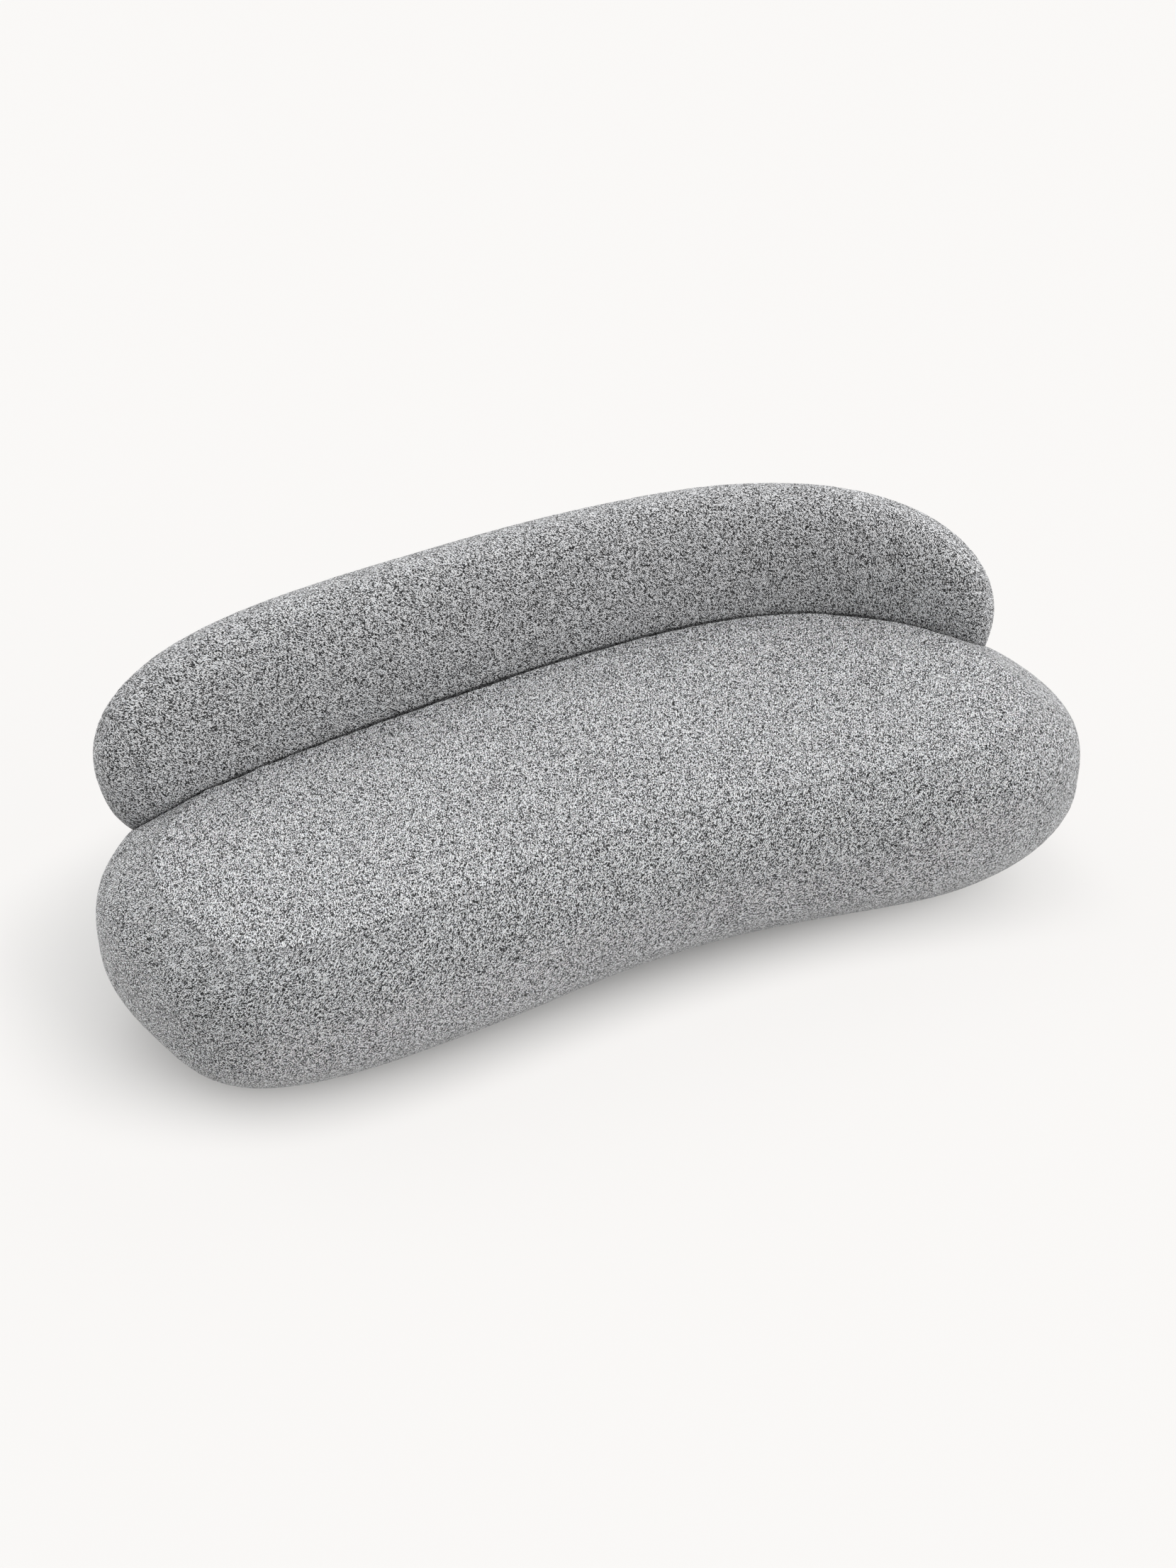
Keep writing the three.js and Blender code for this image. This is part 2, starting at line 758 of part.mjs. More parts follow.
// Seat frame.
function anglesBetween(from, to) {
  const turn = 2 * Math.PI;
  const candidates = [...seatAngles.map((angle) => angle - turn), ...seatAngles];
  return [from, ...candidates.filter((angle) => angle > from && angle < to), to];
}

function railArc(inset, from, to, low, high, margin) {
  const rings = anglesBetween(from, to).map((angle) => {
    const outer = seatPlanPoint(angle, inset - margin);
    const inner = seatPlanPoint(angle, inset + railWidth + margin);
    return [
      new THREE.Vector3(outer.x, outer.y, low - margin),
      new THREE.Vector3(inner.x, inner.y, low - margin),
      new THREE.Vector3(inner.x, inner.y, high + margin),
      new THREE.Vector3(outer.x, outer.y, high + margin),
    ];
  });
  return bodyFromRings(rings);
}

function frameRails(inset, low, high, margin) {
  const half = fitGap - margin;
  const at = (place, side) => angleAtPlace(place, inset, side);
  const turn = 2 * Math.PI;
  return {
    front: railArc(inset, at(-railSplit + half, -1), at(railSplit - half, -1), low, high, margin),
    rear: railArc(inset, at(railSplit - half, 1), at(-railSplit + half, 1), low, high, margin),
    right: railArc(inset, at(railSplit + half, -1), at(railSplit + half, 1), low, high, margin),
    left: railArc(inset, at(-railSplit - half, 1), at(-railSplit - half, -1) + turn, low, high, margin),
  };
}

function footCentre(place, side) {
  return edgePoint(place, baseFrameInset + railWidth / 2, side);
}

const footSpots = [
  ["front_left", -footPlace, -1],
  ["front_middle", 0, -1],
  ["front_right", footPlace, -1],
  ["rear_left", -footPlace, 1],
  ["rear_middle", 0, 1],
  ["rear_right", footPlace, 1],
].map(([name, place, side]) => ({ name, centre: footCentre(place, side) }));

function uprightRod(centre, radius, low, high, sides) {
  const start = new THREE.Vector3(centre.x, centre.y, low);
  const end = new THREE.Vector3(centre.x, centre.y, high);
  return solidOf(rod(radius, start, end, sides));
}

const footStudTop = baseRailBottom + footStudDepth;
const footStudHoles = joined(footSpots.map(({ centre }) => uprightRod(
  centre,
  footStudRadius + fitGap,
  -overrun,
  footStudTop + fitGap,
  roundSides,
)));

function bracketScrewCentre({ lengthway, sideway, leg, railReach }) {
  return leg.clone().addScaledVector(lengthway, bracketScrewPlace).addScaledVector(sideway, railReach);
}

const bracketScrewBottom = topRailHeight - bracketScrewDepth;
const bracketScrewHoles = joined(bracketFrames.map(bracketScrewCentre).map((centre) => uprightRod(
  centre,
  bracketScrewRadius + fitGap,
  bracketScrewBottom - fitGap,
  topRailHeight + overrun,
  screwSides,
)));

// A plywood gusset that joins the base frame to the wider top frame, on a line across both of them.
function frameRib(pointAt) {
  const outer = pointAt(topFrameInset);
  const inward = pointAt(baseFrameInset + railWidth).sub(outer).normalize();
  const reach = (inset) => pointAt(inset).sub(outer).dot(inward);
  const low = baseRailTop + fitGap;
  const high = topRailBottom - fitGap;
  const corners = [
    [reach(baseFrameInset), low],
    [reach(baseFrameInset + railWidth), low],
    [reach(topFrameInset + railWidth), high],
    [reach(topFrameInset), high],
  ];
  const sideway = new THREE.Vector2(-inward.y, inward.x);
  const ring = (offset) => corners.map(([distance, height]) => new THREE.Vector3(
    outer.x + inward.x * distance + sideway.x * offset,
    outer.y + inward.y * distance + sideway.y * offset,
    height,
  ));
  return bodyFromRings([ring(-plyThickness / 2), ring(plyThickness / 2)]);
}

function crossRail(place) {
  const reach = baseFrameInset + railWidth / 2;
  const corners = [
    edgePoint(place - crossRailWidth / 2, reach, -1),
    edgePoint(place + crossRailWidth / 2, reach, -1),
    edgePoint(place + crossRailWidth / 2, reach, 1),
    edgePoint(place - crossRailWidth / 2, reach, 1),
  ];
  return prism(corners, baseRailBottom, baseRailTop);
}

function makeSeatFrame() {
  const base = frameRails(baseFrameInset, baseRailBottom, baseRailTop, 0);
  const baseRoom = frameRails(baseFrameInset, baseRailBottom, baseRailTop, fitGap);
  const top = frameRails(topFrameInset, topRailBottom, topRailHeight, 0);
  Object.entries(base).forEach(([side, rail]) => {
    addPart(`${side}_base_rail`, solidOf(rail).subtract(footStudHoles), materials.ply);
  });
  Object.entries(top).forEach(([side, rail]) => {
    addPart(`${side}_top_rail`, solidOf(rail).subtract(bracketScrewHoles), materials.ply);
  });
  const room = joined([solidOf(baseRoom.front), solidOf(baseRoom.rear)]);
  const crossNames = ["left", "centre", "right"];
  crossRailPlaces.forEach((place, i) => {
    const rail = solidOf(crossRail(place)).subtract(room);
    addPart(`${crossNames[i]}_cross_rail`, rail, materials.ply);
  });
  [["front", -1], ["rear", 1]].forEach(([name, side]) => {
    frameRibPlaces.forEach((place, i) => {
      const rib = frameRib((inset) => edgePoint(place, inset, side));
      addPart(`${name}_frame_rib_${i + 1}`, rib, materials.ply);
    });
  });
  addPart("right_end_frame_rib", frameRib((inset) => seatPlanPoint(0, inset)), materials.ply);
  addPart("left_end_frame_rib", frameRib((inset) => seatPlanPoint(Math.PI, inset)), materials.ply);
}

// Seat foam, hollow below for the frame, the springs and the pad.
function makeSeatFoam() {
  const baseRoomInset = baseFrameInset - frameRoomMargin;
  const topRoomInset = topFrameInset - frameRoomMargin;
  const frameRoom = solidOf(bodyFromRings([
    seatRing(baseRoomInset, groundClearance - overrun),
    seatRing(baseRoomInset, baseRailTop),
    seatRing(topRoomInset, topRailBottom),
    seatRing(topRoomInset, screwHeadTop + clothGap),
  ]));
  const padRoomLow = padBottomLift - overrun;
  const padRoom = solidOf(deckSlab(barShares, padRoomLow, padTopLift + clothGap, springHalfWidth));
  const footRooms = bracketFrames.map((frame) => solidOf(bracketFoot(frame, clothGap)));
  const rooms = joined([frameRoom, padRoom, bracketSlots, ...footRooms]);
  const foam = seatSolid(-foamOffset).subtract(backNotch).subtract(rooms);
  addPart("seat_foam", foam, materials.foam);
}

// Backrest frame and foam.
function makeBackrest() {
  const topRailLow = backFrameRise + fitGap;
  const topRailHigh = topRailLow + plyThickness;
  const topRail = frameSection(-backTopRailHalfWidth, backTopRailHalfWidth, topRailLow, topRailHigh);
  addPart("back_top_rail", backSweep(framePlaces, topRail), materials.ply);

  const bottomRailHigh = -backFrameDrop - fitGap;
  const bottomRailLow = bottomRailHigh - plyThickness;
  const bottomHalf = backBottomRailHalfWidth;
  const bottomRail = solidOf(backSweep(
    framePlaces,
    frameSection(-bottomHalf, bottomHalf, bottomRailLow, bottomRailHigh),
  ));
  addPart("back_bottom_rail", bottomRail.subtract(bracketSlots), materials.ply);

  const half = backFrameHalfThickness;
  const ribSection = frameSection(-half, half, -backFrameDrop, backFrameRise);
  const boltHoles = joined(bracketFrames.map(bracketBoltHole));
  ribPlaces.forEach((place, i) => {
    const rib = backSweep([place - plyThickness / 2, place + plyThickness / 2], ribSection);
    addPart(`back_rib_${i + 1}`, solidOf(rib).subtract(boltHoles), materials.ply);
  });

  const webFront = -half - fitGap;
  [["lower", -lowerWebbingDrop], ["upper", upperWebbingRise]].forEach(([name, middle]) => {
    const section = frameSection(
      webFront - webbingThickness,
      webFront,
      middle - webbingWidth / 2,
      middle + webbingWidth / 2,
    );
    addPart(`${name}_back_webbing`, backSweep(framePlaces, section), materials.webbing);
  });

  const endRoom = backFrameHalfLength + plyThickness / 2 + clothGap;
  const roomPlaces = [-endRoom, ...framePlaces, endRoom];
  const room = solidOf(backSweep(roomPlaces, frameSection(
    webFront - webbingThickness - clothGap,
    half + backRoomMargin,
    bottomRailLow - clothGap,
    topRailHigh + clothGap,
  )));
  const foam = backSolid(-foamOffset).subtract(room).subtract(bracketSlots);
  addPart("back_foam", foam, materials.foam);
}

// Brackets and their fasteners.
function boltLine({ lengthway, leg }) {
  const direction = new THREE.Vector3(lengthway.x, lengthway.y, 0);
  const level = new THREE.Vector3(leg.x, leg.y, bracketBoltHeight);
  return { legFace: level.addScaledVector(direction, bracketThickness / 2), direction };
}

const boltGrip = bracketThickness + fitGap + plyThickness;

function bracketBoltHole(frame) {
  const { legFace, direction } = boltLine(frame);
  const start = legFace.clone().addScaledVector(direction, overrun);
  const end = legFace.clone().addScaledVector(direction, -boltGrip - overrun);
  return solidOf(rod(boltRadius + fitGap, start, end, screwSides));
}

// The bolt's head bears on the bracket, and the nut on the rib's far side.
function bracketBolt(frame) {
  const { legFace, direction } = boltLine(frame);
  const shankEnd = boltGrip + fitGap + nutThickness + boltStub;
  const profile = [
    [0, -shankEnd],
    [boltRadius, -shankEnd],
    [boltRadius, fitGap],
    [boltHeadRadius, fitGap],
    [boltHeadRadius, fitGap + boltHeadThickness],
    [0, fitGap + boltHeadThickness],
  ];
  return turned(profile, screwSides, legFace, direction);
}

function bracketNut(frame) {
  const { legFace, direction } = boltLine(frame);
  const top = -boltGrip - fitGap;
  const bottom = top - nutThickness;
  const bore = boltRadius + fitGap;
  const profile = [[bore, bottom], [nutRadius, bottom], [nutRadius, top], [bore, top], [bore, bottom]];
  return turned(profile, screwSides, legFace, direction);
}

function bracketScrew(frame) {
  const centre = bracketScrewCentre(frame);
  const profile = [
    [0, bracketScrewBottom],
    [bracketScrewRadius, bracketScrewBottom],
    [bracketScrewRadius, screwHeadBottom],
    [bracketScrewHeadRadius, screwHeadBottom],
    [bracketScrewHeadRadius, screwHeadTop],
    [0, screwHeadTop],
  ];
  return turned(profile, screwSides, new THREE.Vector3(centre.x, centre.y, 0), upward);
}

function makeBrackets() {
  const names = ["left", "centre", "right"];
  bracketFrames.forEach((frame, i) => {
    const angle = solidOf(bracketLeg(frame, 0)).add(solidOf(bracketFoot(frame, 0)));
    const drilled = angle.subtract(bracketBoltHole(frame)).subtract(bracketScrewHoles);
    addPart(`${names[i]}_back_bracket`, drilled, materials.steel);
    addPart(`${names[i]}_bracket_bolt`, bracketBolt(frame), materials.zinc);
    addPart(`${names[i]}_bracket_nut`, bracketNut(frame), materials.zinc);
    addPart(`${names[i]}_bracket_screw`, bracketScrew(frame), materials.zinc);
  });
}

// Dust cover and feet.
function makeUnderside() {
  const sheetInset = seatUnderInset + seatCoverFlange - dustCoverOverlap;
  const sheet = planPrism(sheetInset, dustCoverBottom, dustCoverTop).subtract(footStudHoles);
  addPart("dust_cover", sheet, materials.cambric);
  footSpots.forEach(({ name, centre }) => {
    const profile = [
      [0, 0],
      [footBottomRadius - footEdgeRound, 0],
      [footBottomRadius, footEdgeRound],
      [footTopRadius, footTop],
      [footStudRadius, footTop],
      [footStudRadius, footStudTop],
      [0, footStudTop],
    ];
    const floorPoint = new THREE.Vector3(centre.x, centre.y, 0);
    addPart(`foot_${name}`, turned(profile, roundSides, floorPoint, upward), materials.plastic);
  });
}

makeCovers();
makeSeatFoam();
makeDeck();
makeSeatFrame();
makeBackrest();
makeBrackets();
makeUnderside();

// Centre the sofa over the origin, on its feet.
const bounds = new THREE.Box3().setFromObject(sofa);
const middle = bounds.getCenter(new THREE.Vector3());
sofa.position.set(-middle.x, -middle.y, 0);
sofa.updateMatrixWorld(true);

export default sofa;
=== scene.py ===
"""A curved sofa in looped grey cloth: its seat, backrest, finishes and stage, built round the fixed frame."""

import json
import math

import bpy
import numpy as np
from bpy.props import FloatProperty, FloatVectorProperty, PointerProperty
from mathutils import Matrix, Vector, noise
from mathutils.bvhtree import BVHTree
from mathutils.interpolate import poly_3d_calc
from mathutils.kdtree import KDTree


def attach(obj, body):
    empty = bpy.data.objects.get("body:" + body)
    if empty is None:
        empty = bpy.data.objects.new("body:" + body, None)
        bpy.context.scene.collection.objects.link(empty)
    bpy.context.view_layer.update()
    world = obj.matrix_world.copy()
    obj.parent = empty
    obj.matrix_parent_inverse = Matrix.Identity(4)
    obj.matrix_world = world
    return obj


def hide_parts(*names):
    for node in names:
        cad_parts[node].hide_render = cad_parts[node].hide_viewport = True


bl_info = {
    "name": "Curved sofa",
    "version": (1, 0, 0),
    "blender": (4, 5, 0),
    "location": "View3D > Sidebar > Sofa",
    "description": "Upholstery, finishes and studio of a curved sofa, round its packed frame",
    "category": "Add Mesh",
}

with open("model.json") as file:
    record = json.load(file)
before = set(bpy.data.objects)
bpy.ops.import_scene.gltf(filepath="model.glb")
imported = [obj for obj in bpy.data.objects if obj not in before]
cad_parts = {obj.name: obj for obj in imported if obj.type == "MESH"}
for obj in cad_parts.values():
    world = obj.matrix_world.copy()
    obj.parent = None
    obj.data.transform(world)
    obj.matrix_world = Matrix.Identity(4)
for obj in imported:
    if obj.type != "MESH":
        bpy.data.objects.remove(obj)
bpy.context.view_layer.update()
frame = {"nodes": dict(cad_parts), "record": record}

# The plans: a spine's radius and the two lengths over which it bends more, then how each plan lies along it.
SPINE_STEPS = 24
PLACE = (0.017575, 0.038259)
SEAT_SPINE = (1.678, 1.883, 1e9)
BACK_SPINE = (5.958, 1.770, 1.263)
SEAT_SHIFT = 0.025
BACK_SHIFT = 0.070
BACK_BEHIND = 0.324
FRONT_CORNER = (2.77, 0.25)
REAR_CORNER = (2.34, -0.99)
LEAST_CORNER = 1.5
FRONT_FLARE = -0.131
REAR_FLARE = 0.156
EDGE_TRIES = 40

# The seat's profile, in shares of it from the top's middle to the underside's middle, and its top seam.
SHOULDER_END = 0.62
UNDER_END = 0.92
CROWN_POWER = 3.95
SIDE_HOLD = 0.149
UNDER_HOLD = 0.122
SEAM_SHARE = 0.2273
SEAM_INSET = 0.120
CREASE_TIP = 0.004
CREASE_FADE = 0.2
CREASE_LEAN = (0.26, 0.97)
SIDE_SEAMS = (0.09, 0.41)

# The backrest's section, its closing at the ends, how its ends sink and its seams.
SECTION_POWER = 2.47
END_POWERS = (5.85, 2.31)
BACK_SINK = 0.010
BACK_TILT = 0.033
CAP_SHARE = 0.94
REAR_SEAM = math.radians(38)

# The springs' deck, and the rooms in the foam: insets and heights, or outward and upward corners.
DECK_INSET = 0.221
DECK_HEIGHT = 0.2287
DECK_RISE = 0.024
DECK_ROOM_REACH = 0.736
DECK_ROOM_LIFT = 0.0095
FRAME_ROOM = ((0.215, 0.0455), (0.215, 0.0655), (0.145, 0.2065), (0.145, 0.2345))
UNDER_OPENING = ((0.228, 0.030), (0.228, 0.050))
BACK_ROOM_REACH = 0.8105
BACK_ROOM = ((-0.0502, -0.192), (0.0485, -0.192), (0.0485, 0.185), (-0.0502, 0.185))
BRACKET_ROOM = 0.0012
FOAM_DEPTH = 0.004
FOAM_TOP = 0.2605

# Meshes: columns and rows, and how near a line its faces are divided or smoothed.
SEAT_GRID = (256, 110)
BACK_GRID = (220, 120)
ROOM_COLUMNS = 96
SEAM_REACHES = (0.020, 0.010)
FOLD_REACH = 0.010
LIP_REACH = 0.013
SMOOTH_ANGLE = math.radians(50)

# Sewing and padding: seams, the fold where the backrest enters the seat and the shade painted into it,
# where and how near a seam the cloth is held, the swell, and noise as height, scale and seed.
SEAM_DEPTH = 0.0016
SEAM_WIDTH = 0.0035
# Strength of the shade painted into the fold where the backrest enters the seat.
FOLD_PAINTED_SHADE = 2.2
FOLD_FADE = 0.003
FOLD_SPREAD = 0.012
FOLD_HEIGHTS = (0.3, 0.53)
FOLD_GRID = (900, 700, 0.3, 1.1)
FOLD_NEAR = 0.0015
WALL_HEIGHTS = (0.25, 0.5)
UNDER_HELD = 0.06
SEAT_HOLD = 0.03
BACK_HELD = 0.505
BACK_HOLD = 0.02
SWELL_CAP = 0.003
SWELL_FRAMES = 20
SWELL_PRESSURE = 4
RUFFLES = ((0.0012, 4.5, 1), (0.0006, 70, 2))

# The cloth: its ribs and loops, the top panel's turn, and where on the cloth the other panels are laid.
RIB_TURN = math.radians(-45)
RIB_PITCH = 0.00365
LOOPS_PER_METRE = (450, 600, 1)
TOP_TURN = math.radians(-15)
SIDE_PANEL = 3
REAR_PANEL = 2
CAP_PANEL = 5

# Sheets, straps, staples and the pad.
DUST_INSET = 0.206
DUST_HEIGHT = 0.0374
DUST_THICKNESS = 0.0005
STAPLE_INSET = 0.214
STAPLE_HEIGHT = 0.0371
STAPLE_STEP = 0.048
STAPLE_RADIUS = 0.0006
STAPLE_LENGTH = 0.010
PAD_REACH = 0.706
PAD_LIFT = 0.0075
PAD_THICKNESS = 0.0042
STRAP_REACH = 0.800
STRAP_WIDTH = 0.05
STRAP_THICKNESS = 0.0014
STRAP_OUTWARD = -0.0472
STRAPS = {"lower": -0.050, "upper": 0.070}

PLY_PITCH = 0.0029
PLY_LAYERS = {"plywood_flat": (0, 0, 1), "plywood_upright": (1, 0, 0), "plywood_deep": (0, 1, 0)}

# The studio: each lamp's azimuth and elevation in degrees, and the floor's painted glow, which gives the
# shadow its shape.
LAMPS = {
    "right_front": (45, 30),
    "right": (120, 30),
    "rear_high": (210, 62),
    "left_rear": (225, 30),
    "left_front": (315, 30),
}
LAMP_SPREAD = math.radians(50)
FLOOR_SIZE = 60
FLOOR_GLOW = (0.085, 0.92)
SHADOW_CENTRE = (-0.119, 0.164)
SHADOW_REACH = (0.845, 0.400)
SHADOW_BEND = (0.02, 0.206, 0.162)
SHADOW_POWER = 2.65
SHADOW_END = 1.556


# Sizes and colours.


def length_property(name, description, default):
    return FloatProperty(name=name, description=description, default=default, unit="LENGTH")


def angle_property(name, description, default):
    return FloatProperty(name=name, description=description, default=default, subtype="ANGLE")


def strength_property(name, description, default):
    return FloatProperty(name=name, description=description, default=default)


def colour_property(name, description, default):
    return FloatVectorProperty(name=name, description=description, default=default, subtype="COLOR", size=4)


class SofaSeatSizes(bpy.types.PropertyGroup):
    half_length: length_property("Half length", "Half the length along the seat's spine", 1.128)
    half_depth: length_property("Half depth", "Half the depth across the seat at its middle", 0.453)
    widest_height: length_property("Widest height", "Height of the widest line round the side", 0.253)
    crown_rise: length_property("Crown rise", "Rise from the widest line to the top", 0.246)
    clearance: length_property("Floor clearance", "Height of the flat underside", 0.038)
    under_inset: length_property("Underside inset", "How far in the flat underside starts", 0.188)
    crease: length_property("Crease", "How far the seam of the top panel stands proud of the crown", 0.0095)
    crease_inside: length_property("Crease inside", "How soon the crease fades on the top panel", 0.070)
    crease_outside: length_property("Crease outside", "How soon the crease fades on the side", 0.028)
    gap: length_property("Gap", "Gap between the seat and the backrest in it", 0.005)
    voxel: length_property("Voxel", "Voxel of the remesh of the soft pieces", 0.006)
    cloth_voxel: length_property("Cloth voxel", "Voxel of the copy that the cloth is simulated on", 0.018)


class SofaBackSizes(bpy.types.PropertyGroup):
    half_length: length_property("Half length", "Half the length along the backrest's spine", 1.083)
    half_thickness: length_property("Half thickness", "Half the thickness of the backrest's section", 0.109)
    half_height: length_property("Half height", "Half the height of the backrest's section", 0.255)
    lean: angle_property("Lean", "How far the backrest leans back", math.radians(19.3))
    centre_height: length_property("Centre height", "Height of the section's centre at mid length", 0.493)
    cut_height: length_property("Cut height", "Height of the flat underside inside the seat", 0.262)


class SofaColours(bpy.types.PropertyGroup):
    loop_light: colour_property("Light yarn", "Tint of the light loops", (1.0, 0.985, 0.985, 1))
    loop_dark: colour_property("Dark yarn", "Tint of the dark loops", (0.94, 0.965, 1.0, 1))
    floor: colour_property("Floor", "Colour of the studio floor", (0.80, 0.795, 0.785, 1))
    backdrop: colour_property("Backdrop", "What the camera sees behind the sofa", (0.965, 0.950, 0.935, 1))


class SofaCamera(bpy.types.PropertyGroup):
    target: FloatVectorProperty(
        name="Target",
        description="Point that the camera looks at",
        default=(0.05053, 0.03544, 0.30254),
        subtype="TRANSLATION",
        unit="LENGTH",
    )
    azimuth: angle_property("Azimuth", "Angle of the camera round the sofa", -0.445)
    elevation: angle_property("Elevation", "Angle of the camera above the horizon", 0.78)
    roll: angle_property("Roll", "Tilt of the picture", 0.005)
    distance: length_property("Distance", "Distance from the point looked at", 6.4448)
    lens: FloatProperty(
        name="Lens", description="Focal length for a 36 mm sensor", default=65.992, unit="CAMERA"
    )


class SofaLight(bpy.types.PropertyGroup):
    dome: strength_property("Dome", "Strength of the even light all round", 0.18)
    right_front: strength_property("Right front", "Strength of the broad light from the right in front", 1.55)
    right: strength_property("Right", "Strength of the broad light from the right", 1.3)
    rear_high: strength_property("Rear high", "Strength of the broad light from high behind", 1.0)
    left_rear: strength_property("Left rear", "Strength of the broad light from the left behind", 0.85)
    left_front: strength_property("Left front", "Strength of the broad light from the left in front", 0.1)


# Forms, as functions of numbers and of whole arrays of them.


def signed_power(value, power):
    return np.sign(value) * np.abs(value) ** power


def eased(u):
    """From -1 to 1 as u goes from 0 to 1, in steps that shorten towards both ends."""
    return np.sin((u * 2 - 1) * math.pi / 2)


def heading(along, spine):
    """How far a spine has turned at a length along it."""
    radius, growth, ending = spine
    return along / radius + (along / growth) ** 2 + (along / ending) ** 3


def bent(along, across, spine):
    """Places points given along and across a spine whose heading grows with the length along it."""
    x, y, step = np.zeros_like(along), np.zeros_like(along), along / SPINE_STEPS
    for number in range(SPINE_STEPS):
        here = heading(step * (number + 0.5), spine)
        x, y = x + step * np.cos(here), y - step * np.sin(here)
    end = heading(along, spine)
    return x + across * np.sin(end), y + across * np.cos(end)


def straight_plan(angle, inset):
    """The seat's plan before it is bent, at an angle round it and moved in by inset."""
    sizes = bpy.context.scene.sofa_seat
    cosine, sine = np.cos(angle), np.sin(angle)
    front = (1 - sine) / 2
    in_front, behind = (corner[0] + corner[1] * cosine for corner in (FRONT_CORNER, REAR_CORNER))
    corner = np.maximum(front * in_front + (1 - front) * behind, LEAST_CORNER)
    along = (sizes.half_length - inset) * signed_power(cosine, 2 / corner)
    across = (sizes.half_depth - inset) * signed_power(sine, 2 / corner)
    flare = np.where(across > 0, REAR_FLARE, FRONT_FLARE)
    return along, across * (1 + flare * (along / sizes.half_length) ** 2)


def seat_plan(angle, inset):
    """The seat's plan at an angle round it, moved in by inset."""
    along, across = straight_plan(angle, inset)
    x, y = bent(along + SEAT_SHIFT, across, SEAT_SPINE)
    return x + PLACE[0], y + PLACE[1]


def edge_place(along, inset, side):
    """The point where the plan, moved in by inset, passes a length along the spine, in front or behind."""
    low, high = np.zeros_like(along), np.full_like(along, math.pi)
    for _ in range(EDGE_TRIES):
        middle = (low + high) / 2
        beyond = straight_plan(side * middle, inset)[0] > along
        low, high = np.where(beyond, middle, low), np.where(beyond, high, middle)
    return np.stack(seat_plan(side * low, inset), -1)


def crossing(along, share, inset):
    """A point at a share of the way from the plan's front edge to its rear one, and that way's length."""
    front, rear = edge_place(along, inset, -1), edge_place(along, inset, 1)
    x, y = (front + (rear - front) * share[:, None]).T
    return x, y, np.linalg.norm(rear - front, axis=1)


def seat_profile(share):
    """Inset and height at a share of the way from the top's middle over the side to the middle below."""
    sizes = bpy.context.scene.sofa_seat
    turn = np.clip(share / SHOULDER_END, 0, 1) * math.pi / 2
    inset = sizes.half_depth * (1 - np.sin(turn) ** (2 / CROWN_POWER))
    height = sizes.widest_height + sizes.crown_rise * np.maximum(np.cos(turn), 0) ** (2 / CROWN_POWER)
    reach = np.where(inset > SEAM_INSET, sizes.crease_inside, sizes.crease_outside)
    crease = sizes.crease * np.exp(-np.hypot(inset - SEAM_INSET, CREASE_TIP) / reach)
    crease *= np.clip((SHOULDER_END - share) / CREASE_FADE, 0, 1)
    inset, height = inset - CREASE_LEAN[0] * crease, height + CREASE_LEAN[1] * crease
    t = np.clip((share - SHOULDER_END) / (UNDER_END - SHOULDER_END), 0, 1)
    weights = [(1 - t) ** 3, 3 * t * (1 - t) ** 2, 3 * t * t * (1 - t), t**3]
    insets = (0, 0, UNDER_HOLD, sizes.under_inset)
    heights = (sizes.widest_height, SIDE_HOLD, sizes.clearance, sizes.clearance)
    in_below, high_below = (sum(w * hold for w, hold in zip(weights, holds)) for holds in (insets, heights))
    flat = np.clip((share - UNDER_END) / (1 - UNDER_END), 0, 1) * (sizes.half_depth - sizes.under_inset)
    below = share > SHOULDER_END
    return np.where(below, in_below + flat, inset), np.where(below, high_below, height)


def seat_place(u, v):
    inset, height = seat_profile(v)
    return (*seat_plan(u * math.tau, inset), height)


def back_place(along, outward, upward):
    """A point of the backrest's leaning section, at a length along its spine."""
    sizes = bpy.context.scene.sofa_back
    share = along / sizes.half_length
    across = outward * math.cos(sizes.lean) + upward * math.sin(sizes.lean)
    rise = upward * math.cos(sizes.lean) - outward * math.sin(sizes.lean)
    x, y = bent(along + BACK_SHIFT, across, BACK_SPINE)
    height = sizes.centre_height + rise - BACK_SINK * share**2 - BACK_TILT * share
    return x + PLACE[0], y + BACK_BEHIND + PLACE[1], height


def back_section(share, angle, grow=0.0):
    """Outward and upward reach of the backrest's section, which closes in at both ends."""
    sizes = bpy.context.scene.sofa_back
    scale = np.maximum(1 - np.abs(share) ** END_POWERS[0], 0) ** (1 / END_POWERS[1])
    outward = (sizes.half_thickness + grow) * signed_power(np.cos(angle), 2 / SECTION_POWER)
    upward = (sizes.half_height + grow) * signed_power(np.sin(angle), 2 / SECTION_POWER)
    return outward * scale, upward * scale


def back_surface(u, v, grow=0.0):
    share = eased(u)
    outward, upward = back_section(share, v * math.tau, grow)
    return back_place(share * (bpy.context.scene.sofa_back.half_length + grow), outward, upward)


def deck_place(along, share, lift):
    """A point over the springs, at a share of their length from the front rail to the rear one."""
    x, y, _ = crossing(along, share, DECK_INSET)
    return x, y, DECK_HEIGHT + 4 * DECK_RISE * share * (1 - share) + lift


# Work on meshes.


def make_active(piece):
    bpy.ops.object.select_all(action="DESELECT")
    piece.select_set(True)
    bpy.context.view_layer.objects.active = piece


def copy_of(piece):
    make_active(piece)
    bpy.ops.object.duplicate()
    return bpy.context.object


def values_of(items, name, width=1, kind=np.float32):
    """One value, or width of them, for each vertex, corner or face of a mesh."""
    values = np.zeros(len(items) * width, kind)
    items.foreach_get(name, values)
    return values.reshape(-1, width) if width > 1 else values


def points_of(piece):
    return values_of(piece.data.vertices, "co", 3, float)


def normals_of(piece):
    return values_of(piece.data.vertex_normals, "vector", 3)


def move_points(piece, points):
    piece.data.vertices.foreach_set("co", np.asarray(points).ravel())
    piece.data.update()


